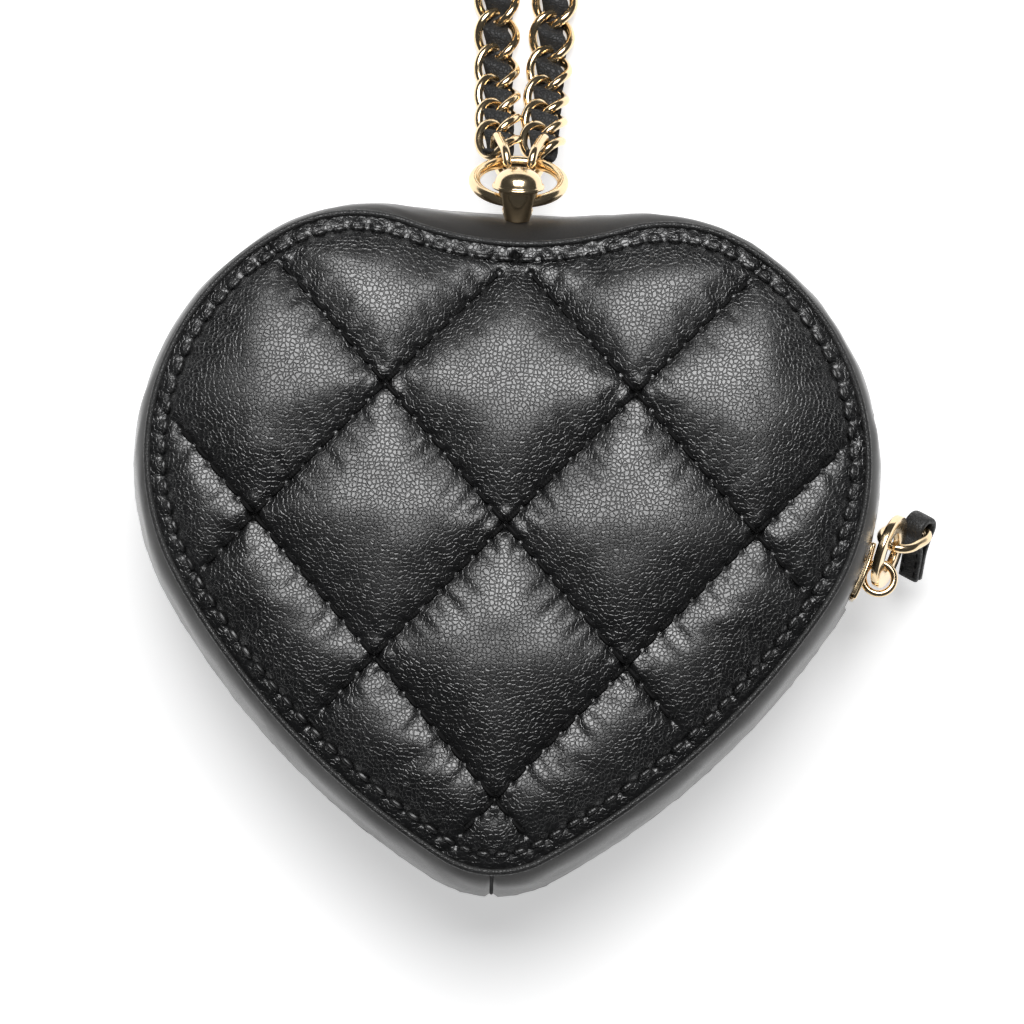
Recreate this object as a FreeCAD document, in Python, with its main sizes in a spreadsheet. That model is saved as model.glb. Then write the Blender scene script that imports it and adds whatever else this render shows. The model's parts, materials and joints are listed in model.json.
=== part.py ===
# Heart-shaped quilted leather purse with a gold chain wrist strap, lying on its back panel.
# Millimetres. +Z comes out of the front panel, +Y runs to the notch and the chain, +X to the zip.
# The origin lies on the heart's axis, in the plane that the back panel rests on.
import FreeCAD, Part
import math
import os
from FreeCAD import Placement, Rotation, Vector

SIZES = [
    # Heart outline of the panels: five tangent arcs on each side of the axis.
    ("side_cx", 15.5, "side arc: centre from the axis"),
    ("side_cy", 13.6, "side arc: centre above the origin"),
    ("side_r", 38.4, "side arc: radius at the panel edge"),
    ("lobe_join", 60.0, "angle where the side arc meets the lobe arc"),
    ("lobe_r", 23.0, "lobe arc: radius at the panel edge"),
    ("notch_r", 50.0, "notch arc: radius at the panel edge"),
    ("lower_join", -32.0, "angle where the side arc meets the lower arc"),
    ("lower_r", 118.0, "lower arc: radius at the panel edge"),
    ("tip_r", 15.0, "tip arc: radius at the panel edge"),
    ("tip_least", 0.8, "tip arc: least radius further in"),
    # Swell of the sides at mid-depth.
    ("bulge", 2.8, "side, lower and tip arcs swell outwards"),
    ("lobe_swell", 10.0, "lobe arc grows in radius"),
    ("notch_swell", 120.0, "notch arc flattens out"),
    # Depth.
    ("half_depth", 15.3, "panel edge to mid-depth"),
    ("panel_rise", 4.2, "crown of a panel over its edge"),
    ("crown_shoulder", 1.1, "upright edge of a panel"),
    ("crown_margin", 18.0, "width over which a panel rises to its crown"),
    ("leather", 1.4, "gusset leather"),
    ("panel_leather", 1.1, "panel leather"),
    ("binding_r", 0.5, "rolled edge: radius"),
    ("lining", 0.5, "lining cloth"),
    ("side_lining_inset", 4.0, "side lining: distance inside the outline"),
    # Quilting.
    ("quilt_half_w", 18.5, "diamond: half width"),
    ("quilt_half_l", 20.2, "diamond: half height"),
    ("quilt_cy", 3.3, "middle of the centre crossing"),
    ("channel_w", 1.2, "sewn channel: width"),
    ("channel_d", 0.8, "sewn channel: depth"),
    # Zip along the right-hand side arc.
    ("zip_low", -28.0, "lower end of the zip, degrees on the side arc"),
    ("zip_high", 57.0, "upper end of the zip, degrees on the side arc"),
    ("mouth_half", 3.6, "half width of the slot in the gusset"),
    ("tape_gap", 0.1, "tape edge below the inner face of the gusset"),
    ("tape_t", 0.6, "tape: thickness"),
    ("tape_w", 5.5, "tape: width from the tooth gap"),
    ("row_gap_half", 0.5, "half gap between the two rows"),
    ("tooth_w", 1.8, "tooth: width across the row"),
    ("tooth_rise", 1.2, "tooth: height above the tape"),
    ("tooth_len", 1.0, "tooth: length along the row"),
    ("tooth_pitch", 2.0, "tooth: spacing along the row"),
    ("bead_rise", 0.6, "woven bead under the teeth"),
    ("stop_len", 1.0, "end stops: length"),
    ("stop_margin", 0.3, "end stops: from the ends of the tapes"),
    # Slider and its pull.
    ("slider_rest", 0.5, "slider: gap to the bottom stop when the zip is closed"),
    ("slider_len", 9.0, "slider: length"),
    ("slider_half_w", 3.2, "slider: half width"),
    ("slider_plate", 0.8, "slider: plate thickness"),
    ("slider_gap", 0.4, "slider: running clearance"),
    ("flange_t", 0.7, "slider: side flange"),
    ("post_len", 1.6, "slider: dividing post, length"),
    ("post_t", 0.5, "slider: dividing post, thickness"),
    ("bridge_r", 2.35, "bridge loop: radius"),
    ("bridge_wire", 0.55, "bridge loop: wire radius"),
    ("bridge_sink", 0.9, "bridge loop: foot cast into the plate"),
    ("pull_outer", 5.75, "pull ring: outer radius"),
    ("pull_inner", 3.0, "pull ring: inner radius"),
    ("pull_t", 1.2, "pull ring: thickness"),
    ("pull_edge", 0.3, "pull ring: edge bevel"),
    ("pull_lean", 0.0, "pull ring leans out from the zip"),
    ("pull_tip", 17.0, "pull ring tips upwards"),
    ("pull_hook", -50.0, "place of the link on the pull ring"),
    ("pull_link_lean", 15.0, "link stands out of the pull ring"),
    ("pull_link_l", 9.5, "pull link: outer length"),
    ("pull_link_w", 7.0, "pull link: outer width"),
    ("tab_w", 3.4, "leather tab: width"),
    ("tab_len", 9.0, "leather tab: length from the fold"),
    ("tab_t", 1.0, "leather tab: thickness of one layer"),
    ("tab_eye", 1.35, "leather tab: radius of its fold"),
    # Stud in the notch.
    ("stud_dz", 10.0, "stud above mid-depth"),
    ("stud_base_r", 2.45, "stud: foot radius"),
    ("stud_neck_r", 3.1, "stud: radius under the head"),
    ("stud_head_r", 3.8, "stud: head radius"),
    ("stud_neck_z", 5.3, "stud: height of the neck"),
    ("stud_rim_z", 5.6, "stud: height of the rim"),
    ("stud_rim_t", 0.5, "stud: rim thickness"),
    ("stud_len", 8.6, "stud: overall height"),
    ("eye_z", 2.9, "stud: height of the cross hole"),
    ("eye_r", 1.5, "stud: radius of the cross hole"),
    ("seat_sink", 0.2, "stud pressed into the leather"),
    ("seat_leather", 0.85, "leather left under the stud"),
    ("seat_gap", 0.15, "clearance round the stud and washer"),
    ("washer_r", 3.5, "washer: radius"),
    ("washer_t", 0.6, "washer: thickness"),
    ("rivet_r", 1.0, "rivet: shank radius"),
    ("rivet_gap", 0.05, "rivet: clearance in the stud and washer"),
    ("rivet_bite", 1.0, "rivet: length in the stud"),
    ("rivet_head_r", 2.4, "rivet: head radius"),
    ("rivet_head_t", 0.9, "rivet: head thickness"),
    # Ring and chain.
    ("ring_r", 6.7, "ring: radius"),
    ("ring_wire", 0.9, "ring: wire radius"),
    ("ring_slack", 0.2, "ring: offset in the cross hole"),
    ("ring_droop", 52.0, "ring hangs below level"),
    ("end_spread", 2.4, "end links: distance from the axis"),
    ("end_link_l", 9.8, "end link: outer length"),
    ("end_link_w", 6.4, "end link: outer width"),
    ("end_splay", 15.0, "end links splay outwards"),
    ("end_play", 0.8, "play between an end link and the chain"),
    ("end_link_droop", 52.0, "end link hangs below level"),
    ("link_wire", 0.7, "chain wire: radius"),
    ("link_l", 9.2, "chain link: outer length"),
    ("link_w", 7.4, "chain link: outer width"),
    ("link_twist", 45.0, "chain link: twist of each end"),
    ("link_play", 0.5, "play between two links"),
    ("lace_r", 1.2, "leather lace in the chain: radius"),
    ("strand_fall", 7.4, "length of a strand that falls from the ring"),
    ("strand_part", 0.1, "strands part by this as they fall"),
    ("table_gap", 0.2, "links above the table"),
]
# One strand of the loop on the table: (distance from the axis, distance past the end link)
STRAND = ((4.2, 17.0), (4.5, 30.0), (7.5, 45.0), (13.5, 60.0),
          (19.0, 76.0), (20.5, 92.0), (15.0, 105.0), (5.5, 111.0))

doc = FreeCAD.newDocument("HeartPurse")
sheet = doc.addObject("Spreadsheet::Sheet", "Sizes")
for row, (alias, value, note) in enumerate(SIZES, 1):
    sheet.set("A%d" % row, note)
    sheet.set("B%d" % row, str(value))
    sheet.setAlias("B%d" % row, alias)
doc.recompute()

X_AXIS = Vector(1, 0, 0)
Y_AXIS = Vector(0, 1, 0)
Z_AXIS = Vector(0, 0, 1)
SWELL_STEPS = ((1.0, 0.0), (0.80, 0.45), (0.42, 0.76), (0.0, 1.0))  # (share of the swell, of the half depth)
CROWN_STEPS = ((0.22, 0.52), (0.55, 0.84), (1.0, 1.0))  # (share of the margin, share of the crown)
LINING_STEPS = ((1.0, 0.0), (0.0, 1.0))  # (share of the swell, share of the half depth)
LINK_STATIONS = 12
WIRE_FLATS = 6
RING_FLATS = 12
ROLL_FLATS = 6

nodes = {}


def size(alias):
    return float(sheet.get(alias))


def bind(obj, **sizes):
    """Ties properties of an object to expressions on the sheet."""
    for name, text in sizes.items():
        obj.setExpression(name.replace("__", "."), text)


def keep(label, obj):
    """Registers a finished sub-part under its node name."""
    obj.Label = label
    nodes[label] = obj
    return obj


def axes_placement(origin, x_dir, z_dir):
    """Placement with its local X and Z along two square directions."""
    return Placement(origin, Rotation(x_dir, z_dir.cross(x_dir), z_dir, "ZXY"))


def polar(radius, degrees):
    return Vector(radius * math.cos(math.radians(degrees)), radius * math.sin(math.radians(degrees)), 0)


# Heart outline


def heart_arcs(swell=0.0, inset=0.0):
    """Arcs (centre, radius, start, end) of the heart, counter-clockwise angles in radians."""
    side_r = size("side_r") + size("bulge") * swell - inset
    lobe_r = size("lobe_r") + size("lobe_swell") * swell - inset
    notch_r = size("notch_r") + size("notch_swell") * swell + inset
    lower_r = size("lower_r") + size("bulge") * swell - inset
    tip_r = max(size("tip_r") + size("bulge") * swell - inset, size("tip_least"))
    join = math.radians(size("lobe_join"))
    low = math.radians(size("lower_join"))
    side = Vector(size("side_cx"), size("side_cy"), 0)
    lobe = side + Vector(math.cos(join), math.sin(join), 0) * (side_r - lobe_r)
    lower = side - Vector(math.cos(low), math.sin(low), 0) * (lower_r - side_r)
    notch = Vector(0, lobe.y + math.sqrt((lobe_r + notch_r) ** 2 - lobe.x ** 2), 0)
    tip = Vector(0, lower.y - math.sqrt((lower_r - tip_r) ** 2 - lower.x ** 2), 0)
    at_notch = math.atan2(notch.y - lobe.y, notch.x - lobe.x)
    at_tip = math.atan2(tip.y - lower.y, tip.x - lower.x)
    right = [
        (lobe, lobe_r, join, at_notch),
        (side, side_r, low, join),
        (lower, lower_r, at_tip, low),
    ]
    left = [(Vector(-c.x, c.y, 0), r, math.pi - b, math.pi - a) for c, r, a, b in reversed(right)]
    arcs = [(notch, notch_r, -at_notch, at_notch - math.pi)] + right
    return arcs + [(tip, tip_r, -math.pi - at_tip, at_tip)] + left


def notch_floor(swell, inset=0.0):
    """Y of the bottom of the notch."""
    centre, radius = heart_arcs(swell, inset)[0][:2]
    return centre.y - radius


def heart_sketch(name, level, **form):
    """Heart outline on a level given as an expression."""
    sketch = doc.addObject("Sketcher::SketchObject", name)
    for centre, radius, start, end in heart_arcs(**form):
        sketch.addGeometry(Part.ArcOfCircle(Part.Circle(centre, Z_AXIS, radius), start, end), False)
    bind(sketch, Placement__Base__z=level)
    return sketch


def loft(name, sketches):
    body = doc.addObject("Part::Loft", name)
    body.Sections = sketches
    body.Solid = True
    body.Ruled = True
    return body


def cut(name, base, tool):
    body = doc.addObject("Part::Cut", name)
    body.Base = base
    body.Tool = tool
    return body


def fuse(name, pieces):
    body = doc.addObject("Part::MultiFuse", name)
    body.Shapes = pieces
    return body


MID = "(Sizes.panel_rise + Sizes.half_depth)"
mid_z = size("panel_rise") + size("half_depth")
zip_centre = Vector(size("side_cx"), size("side_cy"), mid_z)


def level(side, share_of_half_depth, extra="0"):
    """Expression for a level: side is 1 for the front half and -1 for the back half."""
    return "%s + %d * (%s * Sizes.half_depth + %s)" % (MID, side, share_of_half_depth, extra)


def ring_sector(name, inner, outer, low, high, start_deg, end_deg):
    """Ring sector about the zip's centre between two levels above mid-depth (expressions)."""
    rings = []
    for tag, radius in (("Out", outer), ("In", inner)):
        cylinder = doc.addObject("Part::Cylinder", name + tag)
        bind(cylinder, Radius=radius, Height="(%s) - (%s)" % (high, low))
        bind(cylinder, Angle="(%s) - (%s)" % (end_deg, start_deg))
        cylinder.Placement = Placement(zip_centre, Rotation())
        bind(cylinder, Placement__Base__x="Sizes.side_cx", Placement__Base__y="Sizes.side_cy")
        bind(cylinder, Placement__Base__z="%s + (%s)" % (MID, low))
        cylinder.setExpression("Placement.Rotation.Angle", start_deg)
        rings.append(cylinder)
    return cut(name, rings[0], rings[1])


def upper_lower(side, low, high):
    """Level bounds of a band on the front (1) or back (-1) side of mid-depth."""
    return (low, high) if side > 0 else ("-(%s)" % high, "-(%s)" % low)


# Panels: quilted leather over wadding, with a rolled edge and a lining


def crown(name, side, inset, drop):
    """Crowned heart slab on a panel edge; drop lowers its top by an expression."""
    share = "(1 - (%s) / Sizes.panel_rise)" % drop
    sketches = [heart_sketch(name + "Edge", level(side, "1"), inset=inset)]
    shoulder = "Sizes.crown_shoulder * %s" % share
    sketches.append(heart_sketch(name + "Shoulder", level(side, "1", shoulder), inset=inset))
    for count, (margin, rise) in enumerate(CROWN_STEPS):
        top = "(Sizes.crown_shoulder + %s * (Sizes.panel_rise - Sizes.crown_shoulder)) * %s" % (rise, share)
        sketches.append(heart_sketch("%sCrown%d" % (name, count), level(side, "1", top),
                                     inset=inset + margin * size("crown_margin")))
    return loft(name, sketches)


def quilt_channels(name, side):
    """Thin upright walls along the six sewn lines of one panel."""
    walls = []
    run = 8 * math.hypot(size("quilt_half_w"), size("quilt_half_l"))
    for slope in (-1, 1):
        turn = math.degrees(math.atan2(slope * size("quilt_half_l"), size("quilt_half_w")))
        for row in (-1, 0, 1):
            wall = doc.addObject("Part::Box", "%sWall" % name)
            wall.Length = run
            bind(wall, Width="Sizes.channel_w", Height="Sizes.panel_rise + Sizes.crown_shoulder")
            base = mid_z + side * (size("half_depth") + 0.5 * size("crown_shoulder"))
            if side < 0:
                base -= size("panel_rise") + size("crown_shoulder")
            spin = Rotation(Z_AXIS, turn)
            middle = Vector(0, size("quilt_cy") + 2 * size("quilt_half_l") * row, base)
            corner = spin.multVec(Vector(-run / 2, -size("channel_w") / 2, 0))
            wall.Placement = Placement(middle + corner, spin)
            walls.append(wall)
    return fuse(name, walls)


def rolled_edge(label, side):
    """Round leather roll along the edge of a panel."""
    inset = size("binding_r")
    centre_level = mid_z + side * (size("half_depth") + size("binding_r"))
    spine = heart_sketch(label + "Spine", level(side, "1", "Sizes.binding_r"), inset=inset)
    centre, radius, start, _ = heart_arcs(inset=inset)[0]
    profile = doc.addObject("Part::RegularPolygon", label + "Profile")
    profile.Polygon = int(ROLL_FLATS)
    bind(profile, Circumradius="Sizes.binding_r")
    place = centre + Vector(math.cos(start), math.sin(start), 0) * radius
    along = Vector(-math.sin(start), math.cos(start), 0)
    profile.Placement = axes_placement(place + Z_AXIS * centre_level, Z_AXIS, along)
    roll = doc.addObject("Part::Sweep", label + "Sweep")
    roll.Sections = [profile]
    roll.Spine = (spine, ["Edge%d" % (n + 1) for n in range(8)])
    roll.Solid = True
    return keep(label, roll)


def lining_sheet(label, side):
    """Heart-shaped lining cloth just inside a panel."""
    inside = "-Sizes.lining" if side > 0 else "0"
    sketch = heart_sketch(label + "Outline", level(side, "1", inside), inset=size("leather"))
    cloth = doc.addObject("Part::Extrusion", label + "Pad")
    cloth.Base = sketch
    cloth.DirMode = "Custom"
    cloth.Dir = Z_AXIS
    cloth.Solid = True
    bind(cloth, LengthFwd="Sizes.lining")
    if side < 0:
        sketch.setExpression("Placement.Base.z", level(side, "1"))
    return keep(label, cloth)


def panel(name, side):
    inset = 2 * size("binding_r")
    wadding = keep(name + "_wadding", crown(name + "Wadding", side, inset + size("panel_leather"),
                                            "Sizes.panel_leather"))
    outer = crown(name + "Crown", side, inset, "0")
    floor = crown(name + "Floor", side, inset, "Sizes.channel_d")
    channels = cut(name + "Channels", quilt_channels(name + "Walls", side), floor)
    shell = cut(name + "Shell", outer, wadding)
    keep(name + "_panel_leather", cut(name + "Quilt", shell, channels))
    rolled_edge(name + "_edge_binding", side)
    lining_sheet(name + "_lining", side)


panel("front", 1)
panel("back", -1)


# Stud frame: its foot lies on the swollen gusset inside the notch


def swell_at(height):
    return 1 - (height / size("half_depth")) ** 2


stud_dz = size("stud_dz")
STEP = 0.05
slope_y = (notch_floor(swell_at(stud_dz + STEP)) - notch_floor(swell_at(stud_dz - STEP))) / (2 * STEP)
stud_tilt = math.degrees(math.atan(-slope_y))
stud_axis = Vector(0, math.cos(math.radians(stud_tilt)), math.sin(math.radians(stud_tilt)))
stud_foot = Vector(0, notch_floor(swell_at(stud_dz)), mid_z + stud_dz) - stud_axis * size("seat_sink")
stud_place = axes_placement(stud_foot, X_AXIS, stud_axis)
eye = stud_place.multVec(Vector(0, 0, size("eye_z")))


def on_stud_axis(name, radius, low, high):
    """Cylinder on the stud's axis between two heights (expressions)."""
    pin = doc.addObject("Part::Cylinder", name)
    bind(pin, Radius=radius, Height="(%s) - (%s)" % (high, low))
    start = doc.addObject("App::FeaturePython", name + "Start")
    start.addProperty("App::PropertyFloat", "Height")
    bind(start, Height=low)
    doc.recompute()
    pin.Placement = Placement(stud_foot + stud_axis * start.Height, stud_place.Rotation)
    return pin


# Gusset: front and back leather bands that meet in the middle seam, open along the zip


def swollen_wall(name, side, inset):
    sketches = []
    for count, (swell, share) in enumerate(SWELL_STEPS):
        sketches.append(heart_sketch("%s%d" % (name, count), level(side, share), swell=swell, inset=inset))
    return loft(name, sketches)


def gusset(label, side):
    name = label.title().replace("_", "")
    band = cut(name + "Band", swollen_wall(name + "Outer", side, 0.0),
               swollen_wall(name + "Inner", side, size("leather")))
    low, high = upper_lower(side, "-1", "Sizes.mouth_half")
    slot = ring_sector(name + "Mouth", "Sizes.side_r - 3 * Sizes.leather", "Sizes.side_r + 3 * Sizes.bulge",
                       low, high, "Sizes.zip_low", "Sizes.zip_high")
    return cut(name + "Open", band, slot)


back_gusset = keep("back_gusset", gusset("back_gusset", -1))
front_band = gusset("front_gusset", 1)
stud_cutters = fuse("StudSeat", [
    on_stud_axis("SeatOuter", "Sizes.stud_base_r + Sizes.seat_gap", "0", "Sizes.stud_rim_z"),
    on_stud_axis("SeatHole", "Sizes.rivet_r + Sizes.seat_gap", "-4 * Sizes.leather", "Sizes.stud_rim_z"),
    on_stud_axis("SeatInner", "Sizes.washer_r + Sizes.seat_gap", "-3 * Sizes.leather", "-Sizes.seat_leather"),
])
keep("front_gusset", cut("FrontGussetSeat", front_band, stud_cutters))

side_halves = []
for half_name, side in (("LiningFront", 1), ("LiningBack", -1)):
    steps = []
    for depth_tag, inset in (("Out", size("side_lining_inset")),
                             ("In", size("side_lining_inset") + size("lining"))):
        sketches = []
        for count, (swell, share) in enumerate(LINING_STEPS):
            end = "-Sizes.lining" if share == 1.0 else "0"
            sketches.append(heart_sketch("%s%s%d" % (half_name, depth_tag, count), level(side, share, end),
                                         swell=swell, inset=inset))
        steps.append(loft(half_name + depth_tag, sketches))
    side_halves.append(cut(half_name, steps[0], steps[1]))
lining_band = fuse("LiningBand", side_halves)
lining_mouth = ring_sector("LiningMouth", "Sizes.side_r - 3 * Sizes.side_lining_inset",
                           "Sizes.side_r + Sizes.bulge", "-1.4 * Sizes.mouth_half", "1.4 * Sizes.mouth_half",
                           "Sizes.zip_low", "Sizes.zip_high")
keep("side_lining", cut("SideLining", lining_band, lining_mouth))


# Zip: tapes, tooth rows and end stops

TAPE_SAG = "Sizes.bulge * ((Sizes.row_gap_half + Sizes.tape_w) / Sizes.half_depth)^2"
TAPE_TOP = "(Sizes.side_r + Sizes.bulge - Sizes.leather - Sizes.tape_gap - %s)" % TAPE_SAG
ROW_EDGE = "(Sizes.row_gap_half + Sizes.tooth_w)"
TOOTH_TOP = "(%s + Sizes.tooth_rise)" % TAPE_TOP
tape_sag = size("bulge") * ((size("row_gap_half") + size("tape_w")) / size("half_depth")) ** 2
tape_top = size("side_r") + size("bulge") - size("leather") - size("tape_gap") - tape_sag
tooth_top = tape_top + size("tooth_rise")


def degrees_along(length, radius):
    return math.degrees(length / radius)


def tooth_row(label, side, offset):
    """Row of teeth on a woven bead, patterned about the zip's centre."""
    low, high = (0, size("tooth_w")) if side > 0 else (-size("tooth_w"), 0)
    base = side * size("row_gap_half")
    stop_turn = degrees_along(2 * size("stop_len"), tape_top)
    first = size("zip_low") + stop_turn
    span = size("zip_high") - stop_turn - first
    pitch = degrees_along(size("tooth_pitch"), tape_top)
    count = int((span - pitch) / pitch)
    body = doc.addObject("PartDesign::Body", label.title().replace("_", ""))
    plane = [o for o in body.Origin.OriginFeatures if o.Role == "XY_Plane"][0]
    turn_axis = [o for o in body.Origin.OriginFeatures if o.Role == "Z_Axis"][0]
    body.Placement = Placement(zip_centre + Z_AXIS * (base + low), Rotation(Z_AXIS, first))

    bead = body.newObject("Sketcher::SketchObject", label + "Bead")
    bead.AttachmentSupport = [(plane, "")]
    bead.MapMode = "FlatFace"
    bead_top = tape_top + size("bead_rise")
    for radius in (tape_top, bead_top):
        bead.addGeometry(Part.ArcOfCircle(Part.Circle(Vector(), Z_AXIS, radius), 0, math.radians(span)), False)
    for angle in (0, span):
        bead.addGeometry(Part.LineSegment(polar(tape_top, angle), polar(bead_top, angle)), False)
    bead_pad = body.newObject("PartDesign::Pad", label + "BeadPad")
    bead_pad.Profile = bead
    bind(bead_pad, Length="Sizes.tooth_w")

    tooth = body.newObject("Sketcher::SketchObject", label + "Tooth")
    tooth.AttachmentSupport = [(plane, "")]
    tooth.MapMode = "FlatFace"
    spin = Rotation(Z_AXIS, (0.5 + offset) * pitch)
    half = size("tooth_len") / 2
    inside = tape_top + 0.5 * size("bead_rise")
    corners = [Vector(inside, -half), Vector(tooth_top, -half), Vector(tooth_top, half), Vector(inside, half)]
    corners = [spin.multVec(c) for c in corners]
    for start, end in zip(corners, corners[1:] + corners[:1]):
        tooth.addGeometry(Part.LineSegment(start, end), False)
    tooth_pad = body.newObject("PartDesign::Pad", label + "ToothPad")
    tooth_pad.Profile = tooth
    bind(tooth_pad, Length="Sizes.tooth_w")
    doc.recompute()
    teeth = body.newObject("PartDesign::PolarPattern", label + "Teeth")
    teeth.Originals = [tooth_pad]
    teeth.Axis = (turn_axis, [""])
    teeth.Angle = (count - 1) * pitch
    teeth.Occurrences = count
    body.Tip = teeth
    return keep(label, body)


for half_name, side, offset in (("front", 1, 0.0), ("back", -1, 0.5)):
    low, high = upper_lower(side, "Sizes.row_gap_half", "Sizes.row_gap_half + Sizes.tape_w")
    keep(half_name + "_zip_tape",
         ring_sector(half_name.title() + "Tape", TAPE_TOP + " - Sizes.tape_t", TAPE_TOP, low, high,
                     "Sizes.zip_low", "Sizes.zip_high"))
    tooth_row(half_name + "_zip_teeth", side, offset)

stop_turn = degrees_along(size("stop_len"), tape_top)
stop_margin = degrees_along(size("stop_margin"), tape_top)
for label, start in (("zip_bottom_stop", size("zip_low") + stop_margin),
                     ("zip_top_stop", size("zip_high") - stop_margin - stop_turn)):
    keep(label, ring_sector(label.title().replace("_", ""), TAPE_TOP, TOOTH_TOP, "-" + ROW_EDGE, ROW_EDGE,
                            repr(start), repr(start + stop_turn)))


# Slider: two curved plates, side flanges, dividing post and bridge loop, about the zip's centre

plate_low = "(%s + Sizes.slider_gap)" % TOOTH_TOP
plate_top = tooth_top + size("slider_gap") + size("slider_plate")
slider_turn = degrees_along(size("slider_len") / 2, tooth_top)
slider_start = size("zip_low") + stop_margin + stop_turn + degrees_along(size("slider_rest"), tooth_top)
slider_at = slider_start + slider_turn
slider_end = slider_at + slider_turn
post_turn = degrees_along(size("post_len"), tape_top)
tape_low = "(%s - Sizes.tape_t - Sizes.slider_gap)" % TAPE_TOP


def wire_ring(name, radius, wire, placement):
    """Closed ring of wire about local Z; radius and wire are names of sizes."""
    section = doc.addObject("Part::RegularPolygon", name + "Section")
    section.Polygon = int(RING_FLATS)
    bind(section, Circumradius="Sizes." + wire, Placement__Base__x="Sizes." + radius)
    section.Placement = Placement(X_AXIS * size(radius), Rotation(X_AXIS, 90))
    spun = doc.addObject("Part::Revolution", name)
    spun.Source = section
    spun.Axis = Z_AXIS
    spun.Base = Vector()
    spun.Angle = 360
    spun.Solid = True
    spun.Placement = placement
    return spun


def slider_sector(name, inner, outer, low, high, start=slider_start, end=slider_end):
    return ring_sector(name, inner, outer, low, high, repr(start), repr(end))


slider_pieces = [
    slider_sector("SliderOuter", plate_low, plate_low + " + Sizes.slider_plate",
                  "-Sizes.slider_half_w", "Sizes.slider_half_w"),
    slider_sector("SliderInner", tape_low + " - Sizes.slider_plate", tape_low,
                  "-Sizes.slider_half_w", "Sizes.slider_half_w"),
    slider_sector("SliderPost", tape_low + " - 0.5 * Sizes.slider_plate",
                  plate_low + " + 0.5 * Sizes.slider_plate", "-0.5 * Sizes.post_t", "0.5 * Sizes.post_t",
                  slider_start, slider_start + post_turn),
]
for tag, side in (("Front", 1), ("Back", -1)):
    low, high = upper_lower(side, "Sizes.slider_half_w - Sizes.flange_t", "Sizes.slider_half_w")
    slider_pieces.append(
        slider_sector("SliderFlange" + tag, TAPE_TOP + " + 1.5 * Sizes.slider_gap",
                      plate_low + " + 0.5 * Sizes.slider_plate", low, high)
    )
bridge_at = plate_top + size("bridge_r") + size("bridge_wire") - size("bridge_sink")
out_dir = polar(1, slider_at)
up_dir = Z_AXIS.cross(out_dir)
bridge_centre = zip_centre + out_dir * bridge_at
slider_pieces.append(wire_ring("SliderBridge", "bridge_r", "bridge_wire", Placement(bridge_centre, Rotation())))
keep("slider_body", fuse("SliderBody", slider_pieces))


# Pull: flat ring in the bridge, link through the ring, folded leather tab on the link


def turn_from(first, second, degrees):
    """Unit vector turned from one direction towards a square second one."""
    return first * math.cos(math.radians(degrees)) + second * math.sin(math.radians(degrees))


def turned(label, profile, placement):
    """Turned piece: closed profile of (radius, height) points, or three-point arcs, about local Z."""
    body = doc.addObject("PartDesign::Body", label.title().replace("_", ""))
    plane = [o for o in body.Origin.OriginFeatures if o.Role == "XZ_Plane"][0]
    sketch = body.newObject("Sketcher::SketchObject", label + "Profile")
    sketch.AttachmentSupport = [(plane, "")]
    sketch.MapMode = "FlatFace"
    start = Vector(*profile[0], 0)
    for step in profile[1:] + [profile[0]]:
        if len(step) == 4:
            middle, end = Vector(step[0], step[1], 0), Vector(step[2], step[3], 0)
            sketch.addGeometry(Part.Arc(start, middle, end), False)
        else:
            end = Vector(*step, 0)
            if (end - start).Length > 1e-9:
                sketch.addGeometry(Part.LineSegment(start, end), False)
        start = end
    spin = body.newObject("PartDesign::Revolution", label + "Spin")
    spin.Profile = sketch
    spin.ReferenceAxis = (sketch, ["V_Axis"])
    spin.Angle = 360
    body.Placement = placement
    return body


pull_dir = turn_from(up_dir, out_dir, size("pull_lean"))
pull_face = turn_from(out_dir, up_dir, -size("pull_lean"))
pull_normal = turn_from(pull_face, Z_AXIS, size("pull_tip"))
pull_side = turn_from(Z_AXIS, pull_face, -size("pull_tip"))
pull_band = (size("pull_outer") + size("pull_inner")) / 2
pull_centre = bridge_centre + pull_dir * pull_band
half_t, edge = size("pull_t") / 2, size("pull_edge")
r_in, r_out = size("pull_inner"), size("pull_outer")
keep("pull_ring", turned("pull_ring", [
    (r_in + edge, -half_t), (r_out - edge, -half_t), (r_out, edge - half_t), (r_out, half_t - edge),
    (r_out - edge, half_t), (r_in + edge, half_t), (r_in, half_t - edge), (r_in, edge - half_t),
], axes_placement(pull_centre, pull_dir, pull_normal)))


def flat_wire(centre, first, second, radius):
    """Wire section of WIRE_FLATS sides with the area of a round one."""
    corner_turn = 2 * math.pi / WIRE_FLATS
    reach = radius * math.sqrt(corner_turn / math.sin(corner_turn))
    corners = []
    for count in range(WIRE_FLATS):
        turn = corner_turn * count
        corners.append(centre + (first * math.cos(turn) + second * math.sin(turn)) * reach)
    return Part.makePolygon(corners + corners[:1])


def oval_link(length, width, wire):
    """Flat oval link in local XY with the centre of its first end arc at the origin."""
    bend = width / 2 - wire
    run = length - width
    path = Part.Wire([
        Part.LineSegment(Vector(0, -bend, 0), Vector(run, -bend, 0)).toShape(),
        Part.Arc(Vector(run, -bend, 0), Vector(run + bend, 0, 0), Vector(run, bend, 0)).toShape(),
        Part.LineSegment(Vector(run, bend, 0), Vector(0, bend, 0)).toShape(),
        Part.Arc(Vector(0, bend, 0), Vector(-bend, 0, 0), Vector(0, -bend, 0)).toShape(),
    ])
    section = flat_wire(Vector(0, -bend, 0), Y_AXIS, Z_AXIS, wire)
    return path.makePipeShell([section], True, False)


def shape_node(label, shape, placement=None):
    piece = doc.addObject("Part::Feature", label.title().replace("_", ""))
    piece.Shape = shape
    if placement:
        piece.Placement = placement
    return keep(label, piece)


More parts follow.
